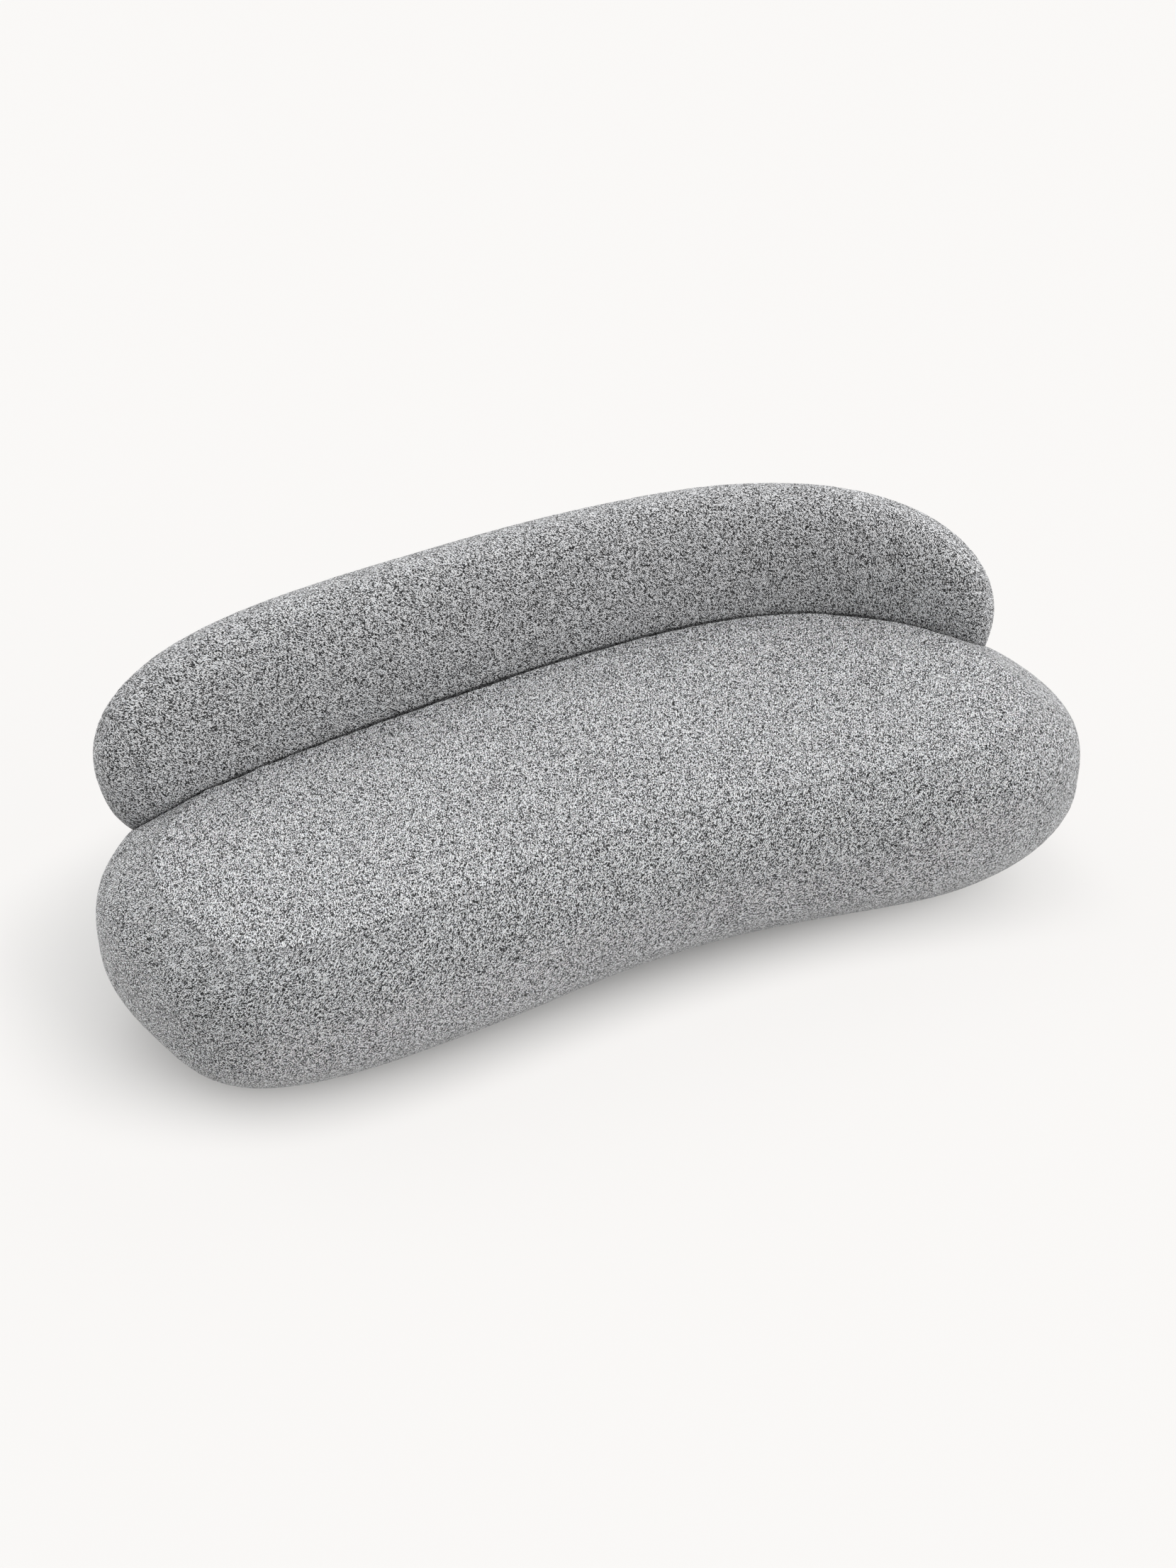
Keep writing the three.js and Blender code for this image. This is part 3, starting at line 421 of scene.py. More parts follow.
def edit(piece, *steps):
    """Runs edit-mode steps on all of a piece."""
    make_active(piece)
    bpy.ops.object.mode_set(mode="EDIT")
    for step, settings in steps:
        bpy.ops.mesh.select_all(action="SELECT")
        step(**settings)
    bpy.ops.object.mode_set(mode="OBJECT")


def close_up(piece):
    """Fills a piece's open ends and turns its faces outwards."""
    edit(piece, (bpy.ops.mesh.fill_holes, {"sides": 0}), (bpy.ops.mesh.normals_make_consistent, {}))


def apply_modifier(piece, kind, **settings):
    """Adds a modifier with these settings and applies it."""
    make_active(piece)
    modifier = piece.modifiers.new(kind.title(), kind)
    for key, value in settings.items():
        setattr(modifier, key, value)
    bpy.ops.object.modifier_apply(modifier=modifier.name)
    if piece.modifiers:
        raise RuntimeError(f"{kind} could not be applied to {piece.name}")


def cut_away(piece, *cutters):
    """Takes the cutters' space out of a piece, and removes the cutters."""
    for cutter in cutters:
        apply_modifier(piece, "BOOLEAN", object=cutter, operation="DIFFERENCE", solver="MANIFOLD")
        bpy.data.objects.remove(cutter)


def shaped_grid(name, columns, rows, place, closed=True):
    """Adds a grid, moves each of its points to place(u, v), and closes it where its edges meet."""
    bpy.ops.object.select_all(action="DESELECT")
    bpy.ops.mesh.primitive_grid_add(x_subdivisions=columns, y_subdivisions=rows, size=2)
    piece = bpy.context.object
    piece.name = piece.data.name = name
    flat = (points_of(piece) + 1) / 2
    move_points(piece, np.stack(place(flat[:, 0], flat[:, 1]), 1))
    if closed:
        merge = (bpy.ops.mesh.remove_doubles, {"threshold": 0.0001})
        edit(piece, merge, (bpy.ops.mesh.normals_make_consistent, {}))
    return piece


def ring_body(name, profile):
    """A closed body of plan rings, from a list of insets and heights from its bottom to its top."""
    numbers, (insets, heights) = np.arange(len(profile)), np.array(profile).T

    def place(u, v):
        step = v * (len(profile) - 1)
        inset, height = np.interp(step, numbers, insets), np.interp(step, numbers, heights)
        return *seat_plan(u * math.tau, inset), height

    body = shaped_grid(name, ROOM_COLUMNS, len(profile) - 1, place)
    close_up(body)
    return body


def seat_form(name):
    """The seat's body, before the backrest's place is cut. Its grid stops a little short of both middles."""
    piece = shaped_grid(name, *SEAT_GRID, lambda u, v: seat_place(u, 0.99 - 0.988 * v))
    close_up(piece)
    return piece


def back_form(name, grow=0.0):
    """The backrest's body, with the flat underside that it stands on."""
    piece = shaped_grid(name, *BACK_GRID, lambda u, v: back_surface(u, v, grow))
    height = bpy.context.scene.sofa_back.cut_height - grow
    cut = {"plane_co": (0, 0, height), "plane_no": (0, 0, 1), "use_fill": True, "clear_inner": True}
    edit(piece, (bpy.ops.mesh.bisect, cut), (bpy.ops.mesh.normals_make_consistent, {}))
    return piece


def back_room():
    """The room in the backrest for its ribs, rails and webbing."""

    def place(u, v):
        outward, upward = np.array(BACK_ROOM)[np.round(v * 4).astype(int) % 4].T
        return back_place((u * 2 - 1) * BACK_ROOM_REACH, outward, upward)

    room = shaped_grid("back_room", 24, 4, place)
    close_up(room)
    return room


def deck_room():
    """The room over the springs and their pad, which reaches a little past both rails."""

    def place(u, v):
        return deck_place((u * 2 - 1) * DECK_ROOM_REACH, v * 1.1 - 0.05, DECK_ROOM_LIFT)

    room = shaped_grid("deck_room", 24, 14, place, closed=False)
    apply_modifier(room, "SOLIDIFY", thickness=0.05, offset=-1)
    edit(room, (bpy.ops.mesh.normals_make_consistent, {}))
    return room


def bracket_rooms():
    """Cutters a little larger than the steel brackets, made from copies of them."""
    cutters = []
    for part in frame["record"]["subparts"]:
        if part["material_slot"] == "bracket_steel":
            cutter = copy_of(frame["nodes"][part["node"]])
            cutter.name = "bracket_room"
            for key in [key for key in cutter.keys() if key.startswith("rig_")]:
                del cutter[key]
            cutter.parent = None
            edit(cutter, (bpy.ops.mesh.remove_doubles, {"threshold": 0.00001}))
            apply_modifier(cutter, "DISPLACE", strength=BRACKET_ROOM, mid_level=0)
            cutters.append(cutter)
    return cutters


def surface_points(place, columns, rows, low=0, high=1):
    """u, v and the points of a surface, in even steps of u from 0 to 1 and of v from low to high."""
    u, v = np.meshgrid(np.linspace(0, 1, columns), np.linspace(low, high, rows), indexing="ij")
    return u, v, np.stack(place(u, v), -1)


class Chart:
    """A form's surface as a grid of points with named values, read back at any point near it."""

    def __init__(self, place, values, columns, rows):
        u, v, points = surface_points(place, columns + 1, rows + 1)
        named = values(u, v, points)
        self.values = np.stack(named, -1).reshape(-1, len(named))
        first = (np.arange(columns)[:, None] * (rows + 1) + np.arange(rows)).ravel()
        self.faces = np.stack([first, first + rows + 1, first + rows + 2, first + 1], -1)
        self.corners = [Vector(point) for point in points.reshape(-1, 3)]
        self.tree = BVHTree.FromPolygons(self.corners, self.faces.tolist())

    def read(self, points):
        """The named values at each point, and last its depth below the form's surface."""
        found = np.zeros((len(points), self.values.shape[1] + 1))
        for number, point in enumerate(points):
            point = Vector(point)
            place, inward, face, away = self.tree.find_nearest(point)
            corners = self.faces[face]
            weights = poly_3d_calc([self.corners[corner] for corner in corners], place)
            found[number, :-1] = np.asarray(weights) @ self.values[corners]
            found[number, -1] = away if (point - place).dot(inward) > 0 else -away
        return found.T


def arc_lengths(points, axis):
    """Running length along one axis of a grid of points."""
    steps = np.linalg.norm(np.diff(points, axis=axis), axis=-1)
    start = np.zeros_like(np.take(steps, [0], axis=axis))
    return np.cumsum(np.concatenate([start, steps], axis=axis), axis=axis)


def seat_chart():
    """Length round the edge, length down the side, and share of the profile."""

    def values(u, v, points):
        edge = arc_lengths(points, 0)[:, [int(points.shape[1] * SHOULDER_END)]] + 0 * v
        return edge, arc_lengths(points, 1), v

    return Chart(seat_place, values, *SEAT_GRID)


def back_chart():
    """Length along, lengths round from the front and the rear, the turn, the end panels and the share."""

    def values(u, v, points):
        share, turn = eased(u), v * math.tau
        outward, upward = back_section(np.zeros_like(v), turn)
        reach, from_left = np.hypot(outward, upward), arc_lengths(points, 0)
        from_end = np.minimum(from_left, from_left[-1:] - from_left)
        length, ring = share * bpy.context.scene.sofa_back.half_length, arc_lengths(points, 1)
        front = ring - ring[:, [ring.shape[1] // 2]]
        rear = np.where(v < 0.5, ring, ring - ring[:, [-1]])
        ends = -from_end * outward / reach, -from_end * upward / reach
        return length, front, rear, np.cos(turn), np.sin(turn), *ends, share

    return Chart(back_surface, values, *BACK_GRID)


def corner_arrays(piece):
    """Each corner's vertex and face, and each face's first corner."""
    vertex = values_of(piece.data.loops, "vertex_index", kind=np.int32)
    first = values_of(piece.data.polygons, "loop_start", kind=np.int32)
    return vertex, np.searchsorted(first, np.arange(len(vertex)), side="right") - 1, first


def face_means(value, first):
    """The mean of the corners' values over each face."""
    return np.add.reduceat(value, first) / np.diff(np.append(first, len(value)))


def lay_cloth(piece, cloth):
    """Gives the piece its map of the cloth, in metres of cloth, one value for each corner of each face."""
    layer = piece.data.uv_layers.get("cloth") or piece.data.uv_layers.new(name="cloth")
    layer.data.foreach_set("uv", cloth.astype(np.float32).ravel())


def lay_sheet(piece, cloth):
    """Gives a sheet its map of the cloth, from one value for each point."""
    lay_cloth(piece, cloth[corner_arrays(piece)[0]])


def lay_seat_cloth(piece):
    """Lays the flat top panel and the side panel, paints shade into the fold, and returns each face's depth.
    """
    edge, down, share, depth = seat_chart().read(points_of(piece))
    # Painted shade on the walls of the backrest's place, below the seat's lip.
    paint_fold_shade(piece, depth - FOLD_FADE, 0)
    vertex, face, first = corner_arrays(piece)
    middle = face_means(share[vertex], first)[face]
    x, y, _ = points_of(piece)[vertex].T
    cosine, sine = math.cos(TOP_TURN), math.sin(TOP_TURN)
    flat = np.stack([x * cosine - y * sine, x * sine + y * cosine], -1)
    length, start = edge.max(), edge[vertex][first][face]
    round_edge = edge[vertex] - length * np.round((edge[vertex] - start) / length)
    side = np.stack([round_edge, SIDE_PANEL - down[vertex]], -1)
    on_side = (middle > SEAM_SHARE) & (middle < UNDER_END)
    lay_cloth(piece, np.where(on_side[:, None], side, flat))
    return face_means(depth[vertex], first)


def lay_back_cloth(piece):
    """The front panel reaches over the top to the rear seam; the rear and end panels have their own map."""
    along, front, rear, cosine, sine, across, down, share, _ = back_chart().read(points_of(piece))
    vertex, face, first = corner_arrays(piece)
    end, cosine, sine = (face_means(value[vertex], first)[face] for value in (share, cosine, sine))
    turn = np.arctan2(sine, cosine)
    behind = (turn > -math.pi / 2) & (turn < REAR_SEAM)
    wrapped = np.stack([along[vertex], np.where(behind, rear[vertex] + REAR_PANEL, front[vertex])], -1)
    cap = np.stack([CAP_PANEL + across[vertex] * -np.sign(end), down[vertex]], -1)
    lay_cloth(piece, np.where((np.abs(end) > CAP_SHARE)[:, None], cap, wrapped))


def tree_of(points):
    tree = KDTree(len(points))
    for number, point in enumerate(points):
        tree.insert(point, number)
    tree.balance()
    return tree


def nearest(points, lines):
    """How far each point is from the nearest of the lines' points."""
    tree = tree_of(lines)
    return np.array([tree.find(point)[2] for point in points])


def dense_line(points, step=0.002):
    """Points along a line, no further apart than step."""
    gaps = np.linalg.norm(np.diff(points, axis=0), axis=1)
    lengths = np.append(0, np.cumsum(gaps))
    wanted = np.linspace(0, lengths[-1], int(lengths[-1] / step) + 2)
    return np.stack([np.interp(wanted, lengths, points[:, axis]) for axis in range(3)], 1)


def refine(piece, lines, reach):
    """Divides the faces near the lines in two each way."""
    near = nearest(points_of(piece), lines) < reach
    make_active(piece)
    for kind in ("vertices", "edges", "polygons"):
        items = getattr(piece.data, kind)
        items.foreach_set("select", np.zeros(len(items), bool))
    piece.data.vertices.foreach_set("select", near)
    bpy.ops.object.mode_set(mode="EDIT")
    bpy.ops.mesh.select_mode(type="VERT")
    bpy.ops.mesh.subdivide(number_cuts=1, smoothness=0, quadcorner="INNERVERT")
    bpy.ops.object.mode_set(mode="OBJECT")


def press_seams(piece, lines):
    """Presses seams in along lines, between low swells of the cloth, and keeps how near each point is as the
    shade painted into the seam.
    """
    for reach in SEAM_REACHES:
        refine(piece, lines, reach)
    points = points_of(piece)
    away = nearest(points, lines)
    pressed = -SEAM_DEPTH * np.exp(-((away / SEAM_WIDTH) ** 2))
    swelled = SEAM_DEPTH * 0.25 * np.exp(-(((away - 3 * SEAM_WIDTH) / (1.6 * SEAM_WIDTH)) ** 2))
    move_points(piece, points + normals_of(piece) * (pressed + swelled)[:, None])
    # The seam attribute holds painted shade: along the seams here, and in the fold where the backrest enters
    # the seat.
    seam = piece.data.attributes.new("seam", "FLOAT", "POINT")
    seam.data.foreach_set("value", np.exp(-((away / (0.7 * SEAM_WIDTH)) ** 2)).astype(np.float32))


def fold_line():
    """Points along the line where the backrest's surface enters the seat's."""
    points = surface_points(back_surface, *FOLD_GRID)[2].reshape(-1, 3)
    points = points[(points[:, 2] > FOLD_HEIGHTS[0]) & (points[:, 2] < FOLD_HEIGHTS[1])]
    tree = seat_chart().tree
    return np.array([point for point in points if tree.find_nearest(Vector(point), FOLD_NEAR)[0]])


def paint_fold_shade(piece, depth, above):
    """Paints shade into the cloth where the two pieces press on each other: in the seat, and a little above
    it.
    """
    inside = np.clip(depth / FOLD_FADE, above, 1)
    shade = FOLD_PAINTED_SHADE * np.where(depth > 0, inside, above * np.exp(depth / FOLD_SPREAD))
    seam = piece.data.attributes["seam"].data
    seam.foreach_set("value", np.maximum(values_of(seam, "value"), shade).astype(np.float32))


def unevenness(points, scale, seed):
    """Soft noise from -1 to 1 at each point, the same on every run."""
    shift = Vector((seed * 7.3, seed * 3.1, seed * 5.7))
    return np.array([noise.noise(Vector(point) * scale + shift) for point in points])


def ruffle(piece):
    """The padding's slow unevenness and the loops' small one, which shows along the outline."""
    points = points_of(piece)
    height = sum(size * unevenness(points, scale, seed) for size, scale, seed in RUFFLES)
    move_points(piece, points + normals_of(piece) * height[:, None])


def hold(near, reach):
    """How firmly cloth is held at a distance from a seam or a wall, which ends at 1.6 times reach."""
    return np.clip(1.6 - near / reach, 0, 1)


def swell(piece, held):
    """Blows the cover tight over its foam, on a coarser copy, and moves the piece's points as far."""
    copy = copy_of(piece)
    apply_modifier(copy, "REMESH", mode="VOXEL", voxel_size=bpy.context.scene.sofa_seat.cloth_voxel)
    before = points_of(copy)
    group = copy.vertex_groups.new(name="held")
    weights = np.round(held(before), 2)
    for weight in np.unique(weights[weights > 0]):
        group.add(np.flatnonzero(weights == weight).tolist(), float(weight), "REPLACE")
    modifier = copy.modifiers.new("Cloth", "CLOTH")
    modifier.settings.use_pressure = True
    modifier.settings.uniform_pressure_force = SWELL_PRESSURE
    modifier.settings.effector_weights.gravity = 0
    modifier.settings.vertex_group_mass = "held"
    modifier.point_cache.frame_start, modifier.point_cache.frame_end = 1, SWELL_FRAMES
    for number in range(1, SWELL_FRAMES + 1):
        bpy.context.scene.frame_set(number)
    make_active(copy)
    bpy.ops.object.modifier_apply(modifier=modifier.name)
    moved = points_of(copy) - before
    bpy.context.scene.frame_set(1)
    bpy.data.objects.remove(copy)
    far = np.percentile(np.linalg.norm(moved, axis=1), 95)
    moved *= SWELL_CAP / far if far > 0 else 0
    length = np.maximum(np.linalg.norm(moved, axis=1), 1e-9)
    moved *= np.minimum(1, SWELL_CAP / length)[:, None]
    tree, points = tree_of(before), points_of(piece)
    for number, point in enumerate(points):
        near = tree.find_n(point, 4)
        shares = np.array([1 / (found[2] + 1e-5) ** 2 for found in near])
        points[number] += shares @ moved[[found[1] for found in near]] / shares.sum()
    move_points(piece, points)


def give_finishes(piece, *names):
    piece.data.materials.clear()
    for name in names:
        piece.data.materials.append(bpy.data.materials[f"{name}_finish"])


def finish_piece(piece, slot, *more):
    """Smooths a new piece, and gives it its slot's finish, any more that it needs and its body."""
    make_active(piece)
    bpy.ops.mesh.customdata_custom_splitnormals_clear()
    bpy.ops.object.shade_smooth_by_angle(angle=SMOOTH_ANGLE)
    give_finishes(piece, slot, *more)
    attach(piece, "root")


# Materials.


def opaque(colour):
    """A colour or a grey level with its alpha; a wire stays as it is."""
    if isinstance(colour, Wire):
        return colour
    return (*colour[:3], 1) if hasattr(colour, "__len__") else (colour, colour, colour, 1)


class Wire:
    """A socket of a tree of nodes; arithmetic on it adds Math nodes."""

    def __init__(self, nodes, socket):
        self.nodes, self.socket = nodes, socket

    def maths(self, operation, *values):
        return self.nodes.node("ShaderNodeMath", {"operation": operation}, dict(enumerate(values)))

    def __add__(self, other):
        return self.maths("ADD", self, other)

    __radd__ = __add__

    def __sub__(self, other):
        return self.maths("SUBTRACT", self, other)

    def __rsub__(self, other):
        return self.maths("SUBTRACT", other, self)

    def __mul__(self, other):
        return self.maths("MULTIPLY", self, other)

    __rmul__ = __mul__

    def __truediv__(self, other):
        return self.maths("DIVIDE", self, other)

    def __pow__(self, other):
        return self.maths("POWER", self, other)

    def sine(self):
        return self.maths("SINE", self)

    def size(self):
        return self.maths("ABSOLUTE", self)

    def part(self, output):
        """Another output of the same node."""
        return Wire(self.nodes, self.socket.node.outputs[output])


class Nodes:
    """A tree of shader nodes, written as expressions."""

    def __init__(self, tree):
        self.tree = tree

    def node(self, kind, settings=None, inputs=None, output=0):
        made = self.tree.nodes.new(kind)
        for key, value in (settings or {}).items():
            if key == "stops":
                stops = made.color_ramp.elements
                for number, (place, colour) in enumerate(value):
                    stop = stops[number] if number < 2 else stops.new(place)
                    stop.position, stop.color = place, colour
            else:
                setattr(made, key, value)
        for key, value in (inputs or {}).items():
            if isinstance(value, Wire):
                self.tree.links.new(value.socket, made.inputs[key])
            else:
                made.inputs[key].default_value = value
        return Wire(self, made.outputs[output])

    def show(self, shader, backdrop, share, output):
        """Shows a share of the backdrop to the camera, straight, in a gloss or through glass."""
        path = self.node("ShaderNodeLightPath", output="Is Camera Ray")
        glossy, through = path.part("Is Glossy Ray"), path.part("Is Transmission Ray")
        seen = path.maths("MAXIMUM", path, path.maths("MAXIMUM", glossy, through))
        mixed = self.node("ShaderNodeMixShader", None, {0: seen * share, 1: Wire(self, shader), 2: backdrop})
        self.tree.links.new(mixed.socket, self.tree.nodes[output].inputs["Surface"])


class Finish(Nodes):
    """A material whose nodes are written as expressions."""

    def __init__(self, name, **constants):
        self.material = bpy.data.materials.new(f"{name}_finish")
        self.material.use_nodes = True
        super().__init__(self.material.node_tree)
        self.shader = self.tree.nodes["Principled BSDF"]
        for key, value in constants.items():
            self.shader.inputs[key.replace("_", " ")].default_value = value

    def place(self):
        return self.node("ShaderNodeTexCoord", output="Object")

    def cloth(self):
        return self.node("ShaderNodeUVMap", {"uv_map": "cloth"})

    def axes(self, place):
        apart = self.node("ShaderNodeSeparateXYZ", None, {0: place})
        return apart, apart.part("Y")

    def vector(self, operation, inputs, output=0):
        return self.node("ShaderNodeVectorMath", {"operation": operation}, inputs, output)

    def mapping(self, place, scale=(1, 1, 1), rotation=(0, 0, 0)):
        return self.node("ShaderNodeMapping", None, {"Vector": place, "Scale": scale, "Rotation": rotation})

    def mix(self, factor, first, second, kind="MIX"):
        inputs = {0: factor, 6: opaque(first), 7: opaque(second)}
        return self.node("ShaderNodeMix", {"data_type": "RGBA", "blend_type": kind}, inputs, 2)

    def noise(self, place, scale, detail, output=0):
        inputs = {"Vector": place, "Scale": scale, "Detail": detail}
        return self.node("ShaderNodeTexNoise", None, inputs, output)

    def cells(self, place, scale, output=0):
        return self.node("ShaderNodeTexVoronoi", None, {"Vector": place, "Scale": scale}, output)

    def ramp(self, value, *stops):
        stops = [(place, opaque(colour)) for place, colour in stops]
        return self.node("ShaderNodeValToRGB", {"stops": stops}, {0: value})

    def bump(self, height, depth, strength):
        return self.node("ShaderNodeBump", None, {"Strength": strength, "Distance": depth, "Height": height})

    def connect(self, **links):
        for key, value in links.items():
            self.tree.links.new(value.socket, self.shader.inputs[key.replace("_", " ")])


def boucle_finish():
    """Looped melange cloth: small light and dark loops in slanting ribs, with shade painted into the gaps
    between them and along the seams and the fold.
    """
    colours = bpy.context.scene.sofa_colours
    soft = {"Sheen_Weight": 0.18, "Sheen_Roughness": 0.45}
    finish = Finish("boucle", Roughness=0.92, Specular_IOR_Level=0.15, **soft)
    place = finish.place()
    drift = finish.noise(place, 120.0, 2.0, "Color")
    pushed = finish.vector("MULTIPLY_ADD", {0: drift, 1: (0.003, 0.003, 0), 2: finish.cloth()})
    turned = finish.mapping(pushed, rotation=(0, 0, RIB_TURN))
    rows = finish.vector("MULTIPLY", {0: turned, 1: LOOPS_PER_METRE})
    even = {"Vector": rows, "Scale": 1.0, "Randomness": 0.9}
    loops = finish.node("ShaderNodeTexVoronoi", {"voronoi_dimensions": "2D"}, even)
    tone = finish.node("ShaderNodeSeparateColor", None, {0: loops.part("Color")})
    rib = (finish.axes(turned)[1] * (math.tau / RIB_PITCH)).sine() * 0.5 + 0.5
    broad = finish.noise(place, 2.2, 3.0)
    # Painted shade: the seam attribute darkens the cloth along the seams and in the fold at the backrest.
    seam = finish.node("ShaderNodeAttribute", {"attribute_name": "seam"}, output="Fac")
    yarn = finish.ramp(tone, (0.06, 0.01), (0.36, 0.08), (0.5, 0.42), (0.62, 0.90), (0.9, 1.0))
    tint = finish.mix(tone.part("Green"), colours.loop_dark, colours.loop_light)
    # Painted shade in the gaps between the loops.
    gap = 1.10 - loops * 0.45
    # shade multiplies the painted shade of the gaps, seams and fold with the cloth's broad tone and its ribs.
    shade = gap * (0.93 + broad * 0.14) * (1 - seam * 0.35) * (0.70 + rib * 0.50)
    base = finish.vector("SCALE", {0: finish.mix(1.0, yarn, tint, "MULTIPLY"), "Scale": shade})
    relief = (1 - loops) * 0.5 + rib * 0.5
    finish.connect(Base_Color=base, Normal=finish.bump(relief, 0.0014, 0.7))


def foam_finish():
    """Moulded foam with open pores and a yellowed skin."""
    finish = Finish("foam", Roughness=0.95)
    place = finish.place()
    colour = finish.mix(finish.noise(place, 6.0, 4.0), (0.80, 0.75, 0.60), (0.70, 0.61, 0.42))
    finish.connect(Base_Color=colour, Normal=finish.bump(finish.cells(place, 260.0), 0.0008, 0.6))


def felt_finish():
    """Pressed felt of mixed recycled fibres."""
    finish = Finish("felt", Roughness=0.96, Sheen_Weight=0.2)
    place = finish.place()
    matted = finish.noise(finish.mapping(place, (1, 2.5, 1)), 260.0, 6.0)
    fleck = finish.node("ShaderNodeSeparateColor", None, {0: finish.cells(place, 340.0, "Color")})
    fibres = (0.25, (0.10, 0.09, 0.08)), (0.5, (0.26, 0.24, 0.20)), (0.75, (0.46, 0.43, 0.38))
    colour = finish.ramp(matted * 0.6 + fleck * 0.4, *fibres)
    finish.connect(Base_Color=colour, Normal=finish.bump(matted, 0.0006, 0.7))


def plywood_finish(name, layers):
    """Raw birch plywood: its plies show as bands on the edges, across the direction given by layers."""
    finish = Finish(name, Specular_IOR_Level=0.3)
    place = finish.place()
    grain = finish.noise(finish.mapping(place, (3, 60, 60)), 4.0, 5.0)
    figure = finish.noise(finish.mapping(place, (1.2, 9, 9)), 2.5, 3.0)
    birch = (0.3, (0.62, 0.45, 0.26)), (0.55, (0.72, 0.56, 0.35)), (0.8, (0.80, 0.66, 0.45))
    face = finish.ramp(grain * 0.6 + figure * 0.5, *birch)
    depth = finish.vector("DOT_PRODUCT", {0: place, 1: layers}, "Value")
    plies = (depth * (math.tau / PLY_PITCH)).sine() * 0.5 + 0.5
    normal = finish.node("ShaderNodeNewGeometry", output="Normal")
    facing = finish.vector("DOT_PRODUCT", {0: normal, 1: layers}, "Value")
    edge = (1 - facing * facing) ** 4
    colour = finish.mix(edge, face, finish.mix(plies, (0.45, 0.28, 0.13), (0.74, 0.58, 0.36)))
    relief = finish.bump(grain + plies * edge, 0.0002, 0.5)
    finish.connect(Base_Color=colour, Roughness=0.62 + grain * 0.2, Normal=relief)


def metal_finish(name, colour, darker, roughness, scale, depth):
    """Metal with an uneven surface film."""
    finish = Finish(name, Metallic=1.0)
    place = finish.place()
    film = finish.noise(place, scale, 5.0)
    relief = finish.bump(finish.noise(place, scale * 12, 2.0), depth, 0.4)
    mixed = finish.mix(film, darker, colour)
    finish.connect(Base_Color=mixed, Roughness=film * 0.25 + (roughness - 0.12), Normal=relief)


def coated_finish(name, colour, worn, roughness, scale, depth):
    """Powder coat or moulded plastic with a fine even grain and paler rubbed patches."""
    finish = Finish(name)
    place = finish.place()
    grain = finish.noise(place, scale, 3.0)
    rubbed = finish.ramp(finish.noise(place, 14.0, 6.0), (0.55, 0.0), (0.75, 1.0))
    mixed, relief = finish.mix(rubbed, colour, worn), finish.bump(grain, depth, 0.6)
    finish.connect(Base_Color=mixed, Roughness=roughness + grain * 0.15, Normal=relief)


def woven_finish(name, colour, thread, pitch):
    """Plain weave of flat threads, over and under, on the map of the cloth."""
    finish = Finish(name, Roughness=0.9, Sheen_Weight=0.15)
    warp, weft = ((axis * (math.pi / pitch)).sine() for axis in finish.axes(finish.cloth()))
    over = (warp * weft) * 0.5 + 0.5
    fuzz = finish.noise(finish.place(), 900.0, 2.0)
    mixed = finish.mix(over * 0.7 + fuzz * 0.3, colour, thread)
    finish.connect(Base_Color=mixed, Normal=finish.bump(over + fuzz * 0.3, pitch * 0.25, 0.8))


# Operators.


class SOFA_OT_finishes(bpy.types.Operator):
    """Makes the materials, and gives each part of the frame its own"""

    bl_idname = "sofa.finishes"
    bl_label = "Finishes"

    def execute(self, context):
        boucle_finish()
        foam_finish()
        felt_finish()
        for name, layers in PLY_LAYERS.items():
            plywood_finish(name, layers)
        metal_finish("spring_steel", (0.20, 0.205, 0.215), (0.07, 0.065, 0.06), 0.42, 45.0, 0.0001)
        metal_finish("zinc", (0.62, 0.64, 0.67), (0.45, 0.44, 0.40), 0.32, 70.0, 0.00005)
        coated_finish("bracket_steel", (0.018, 0.019, 0.021), (0.05, 0.05, 0.055), 0.42, 1400.0, 0.00015)
        coated_finish("foot_plastic", (0.014, 0.014, 0.016), (0.04, 0.04, 0.042), 0.48, 2200.0, 0.00008)
        woven_finish("webbing", (0.012, 0.012, 0.013), (0.06, 0.06, 0.065), 0.0022)
        woven_finish("cambric", (0.008, 0.008, 0.009), (0.03, 0.03, 0.032), 0.0009)
        for part in frame["record"]["subparts"]:
            name, slot = part["node"], part["material_slot"]
            if slot == "plywood":
                slot = "plywood_upright" if "rib" in name else "plywood_flat"
                if "end_frame_rib" in name:
                    slot = "plywood_deep"
            give_finishes(frame["nodes"][name], slot)
        return {"FINISHED"}


